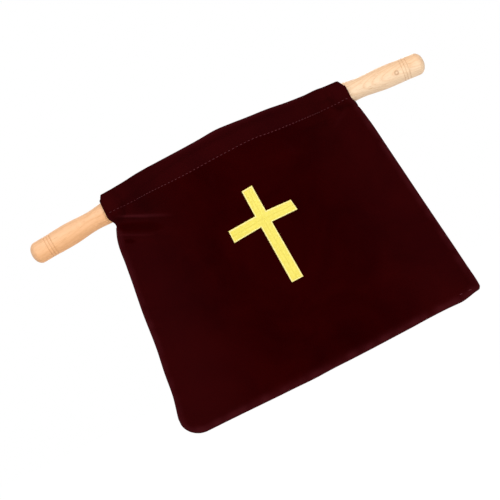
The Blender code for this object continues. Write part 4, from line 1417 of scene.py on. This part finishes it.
def handle_mesh(steps):
    """A handle turned about X, from its collar's face at 0: points, faces, and how deep in a groove."""
    place = handle_places()
    radius, groove = handle_radius(place)
    turn = np.arange(steps) * math.tau / steps
    ring = np.stack([np.zeros_like(turn), np.cos(turn), np.sin(turn)], axis=1)
    verts = [np.array([a, 0.0, 0.0]) + ring * r for a, r in zip(place, radius)]
    verts.append([[HANDLE_LENGTH, 0.0, 0.0]])
    last = (len(place) - 1) * steps
    tip = len(place) * steps
    faces = tube_faces(len(place), steps)
    faces += [(last + i, last + (i + 1) % steps, tip) for i in range(steps)]
    return np.concatenate(verts), faces, np.append(np.repeat(groove, steps), 0.0)


def cut_bores(handle):
    """Drills the two blind holes that the bows' straight ends sit in."""
    for side in FACES.values():
        ends = [(end * (WIRE_END + BORE_CLEARANCE), side * HINGE_OUT, HINGE_HEIGHT) for end in (-1, 1)]
        cutter = add_mesh("bore_cutter", *sweep(ends, WIRE_RADIUS + BORE_CLEARANCE, BORE_SIDES), [])
        bore = handle.modifiers.new("Bore", "BOOLEAN")
        bore.operation = "DIFFERENCE"
        bore.solver = "EXACT"
        bore.object = cutter
        apply_modifiers(handle)
        bpy.data.objects.remove(cutter, do_unlink=True)


class OBJECT_OT_handles(bpy.types.Operator):
    """Turn the two wooden handles"""

    bl_idname = "offertory_bag.handles"
    bl_label = "Handles"

    def execute(self, context):
        handles = context.scene.offertory_handles
        woods = {
            "left": wood_material("orange_beech_turned_waxed", handles, handles.left_colour, **CUTS["left"]),
            "right": wood_material("pale_beech_turned_waxed", handles, handles.right_colour, **CUTS["right"]),
        }
        verts, faces, groove = handle_mesh(handles.steps)
        for name, side in SIDES.items():
            handle = add_mesh(f"{name}_turned_handle", verts, faces, [woods[name]], groove=groove)
            handle.data.set_sharp_from_angle(angle=HANDLE_EDGE)
            handle.location = (side * COLLAR_FACE, 0.0, HANDLE_HEIGHT)
            handle.rotation_euler = (0.0, HANDLE_DROOP, math.pi if side < 0 else 0.0)
            bpy.context.view_layer.update()
            cut_bores(handle)
            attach(handle, "bag")
            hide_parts(f"{name}_handle")
        return {"FINISHED"}


# The stage

# Where the camera and the lamps point, and each lamp's place, size and power
LOOK_AT = Vector((-0.0201, 0.0, 0.1279))
LAMPS = {
    "key_light": ((-0.45, -1.2, 1.45), 0.7, 14.5),
    "fill_light": ((0.4, -1.4, -0.28), 1.1, 13.4),
    "back_light": ((0.3, 1.5, 1.0), 1.0, 10.0),
}
# From the floor's middle to its edges, and how strongly the room lights the bag
FLOOR_REACH = 6.0
ROOM_LIGHT = 0.49
# The white that the camera sees in place of the floor's paper, and the share that it takes
FLOOR_GLOW = 1.1
FLOOR_MELT = 0.85


def add_area_light(name, place, size, power):
    """A round soft lamp that points at the bag."""
    light = bpy.data.lights.new(name, "AREA")
    light.shape = "DISK"
    light.size = size
    light.energy = power
    made = bpy.data.objects.new(name, light)
    made.location = place
    made.rotation_mode = "QUATERNION"
    made.rotation_quaternion = (LOOK_AT - Vector(place)).to_track_quat("-Z", "Y")
    bpy.context.scene.collection.objects.link(made)


def seen_share(tree):
    """1 for what the camera sees directly, in gloss or through glass, and otherwise 0."""
    rays = ("Is Camera Ray", "Is Glossy Ray", "Is Transmission Ray")
    seen, gloss, glass = (add_node(tree, "LightPath", output=ray) for ray in rays)
    either = add_node(tree, "Math", {"operation": "MAXIMUM", 0: seen, 1: gloss})
    return add_node(tree, "Math", {"operation": "MAXIMUM", 0: either, 1: glass})


def floor_material():
    """Matt white studio paper: it keeps a soft shadow and melts into the white background."""
    made, tree = new_material("white_matt_background_paper")
    # The mottle's lumps are about 30 mm wide, and its texture spans the whole floor
    mottle = add_node(tree, "TexNoise", {"Scale": 2 * FLOOR_REACH / (30 * MM), "Detail": 2.0})
    stops = ((0.3, linear("EFEFEF")), (0.7, linear("F6F6F6")))
    colour = add_node(tree, "ValToRGB", {"Fac": mottle, "stops": stops})
    paper = add_node(tree, "BsdfPrincipled", {"Base Color": colour, "Roughness": 0.9})
    glow = add_node(tree, "Emission", {"Color": WHITE, "Strength": FLOOR_GLOW})
    share = add_node(tree, "Math", {"operation": "MULTIPLY", 0: seen_share(tree), 1: FLOOR_MELT})
    both = add_node(tree, "MixShader", {0: share, 1: paper, 2: glow})
    add_node(tree, "OutputMaterial", {"Surface": both})
    return made


def set_world(scene):
    """A plain room: white where the camera sees it, and dimmer where it lights the bag."""
    world = bpy.data.worlds.new("studio_room")
    world.use_nodes = True
    tree = world.node_tree
    tree.nodes.clear()
    room = add_node(tree, "Background", {"Color": WHITE, "Strength": ROOM_LIGHT})
    white = add_node(tree, "Background", {"Color": WHITE, "Strength": 1.0})
    both = add_node(tree, "MixShader", {0: seen_share(tree), 1: room, 2: white})
    add_node(tree, "OutputWorld", {"Surface": both})
    scene.world = world


class OBJECT_OT_stage(bpy.types.Operator):
    """Set up the floor, the studio light and the camera"""

    bl_idname = "offertory_bag.stage"
    bl_label = "Stage"

    def execute(self, context):
        scene = context.scene
        stage = scene.offertory_stage
        ends = ((-1, -1), (1, -1), (1, 1), (-1, 1))
        corners = [(FLOOR_REACH * i, FLOOR_REACH * j, -stage.floor_drop) for i, j in ends]
        floor = add_mesh("floor", corners, [(0, 1, 2, 3)], [floor_material()])
        for name, lamp in LAMPS.items():
            add_area_light(name, *lamp)
        set_world(scene)
        away = Vector((math.sin(stage.azimuth), -math.cos(stage.azimuth), 0.0))
        camera = bpy.data.objects.new("camera", bpy.data.cameras.new("camera"))
        camera.data.lens = stage.lens
        camera.location = LOOK_AT + away * stage.distance
        camera.rotation_mode = "QUATERNION"
        level = (-away).to_track_quat("-Z", "Y")
        camera.rotation_quaternion = level @ Quaternion((0.0, 0.0, 1.0), stage.roll)
        scene.collection.objects.link(camera)
        scene.camera = camera
        scene.view_settings.view_transform = "Standard"
        return {"FINISHED"}


GROUPS = {
    "offertory_cloth": ClothSettings,
    "offertory_thread": ThreadSettings,
    "offertory_cross": CrossSettings,
    "offertory_handles": HandleSettings,
    "offertory_stage": StageSettings,
}
OPERATORS = (
    OBJECT_OT_velvet_shells,
    OBJECT_OT_wire_bows,
    OBJECT_OT_hem_stitches,
    OBJECT_OT_seams,
    OBJECT_OT_cross,
    OBJECT_OT_backing,
    OBJECT_OT_handles,
    OBJECT_OT_stage,
)


class VIEW3D_PT_offertory_bag(bpy.types.Panel):
    """The bag's pieces, in the order in which they are made"""

    bl_label = "Offertory bag"
    bl_space_type = "VIEW_3D"
    bl_region_type = "UI"
    bl_category = "Offertory bag"

    def draw(self, context):
        for operator in OPERATORS:
            self.layout.operator(operator.bl_idname)
        for group in GROUPS:
            box = self.layout.box()
            settings = getattr(context.scene, group)
            for name in settings.__annotations__:
                box.prop(settings, name)


def register():
    """Adds the classes and the settings to Blender."""
    for kind in (*GROUPS.values(), *OPERATORS, VIEW3D_PT_offertory_bag):
        bpy.utils.register_class(kind)
    for name, kind in GROUPS.items():
        setattr(bpy.types.Scene, name, PointerProperty(type=kind))


def unregister():
    """Takes the settings and the classes out of Blender."""
    for name in GROUPS:
        delattr(bpy.types.Scene, name)
    for kind in (VIEW3D_PT_offertory_bag, *reversed(OPERATORS), *GROUPS.values()):
        bpy.utils.unregister_class(kind)


def main():
    """Makes every piece and the stage."""
    register()
    bpy.ops.offertory_bag.velvet_shells()
    bpy.ops.offertory_bag.wire_bows()
    bpy.ops.offertory_bag.hem_stitches()
    bpy.ops.offertory_bag.seams()
    bpy.ops.offertory_bag.cross()
    bpy.ops.offertory_bag.backing()
    bpy.ops.offertory_bag.handles()
    bpy.ops.offertory_bag.stage()


if __name__ == "__main__":
    main()
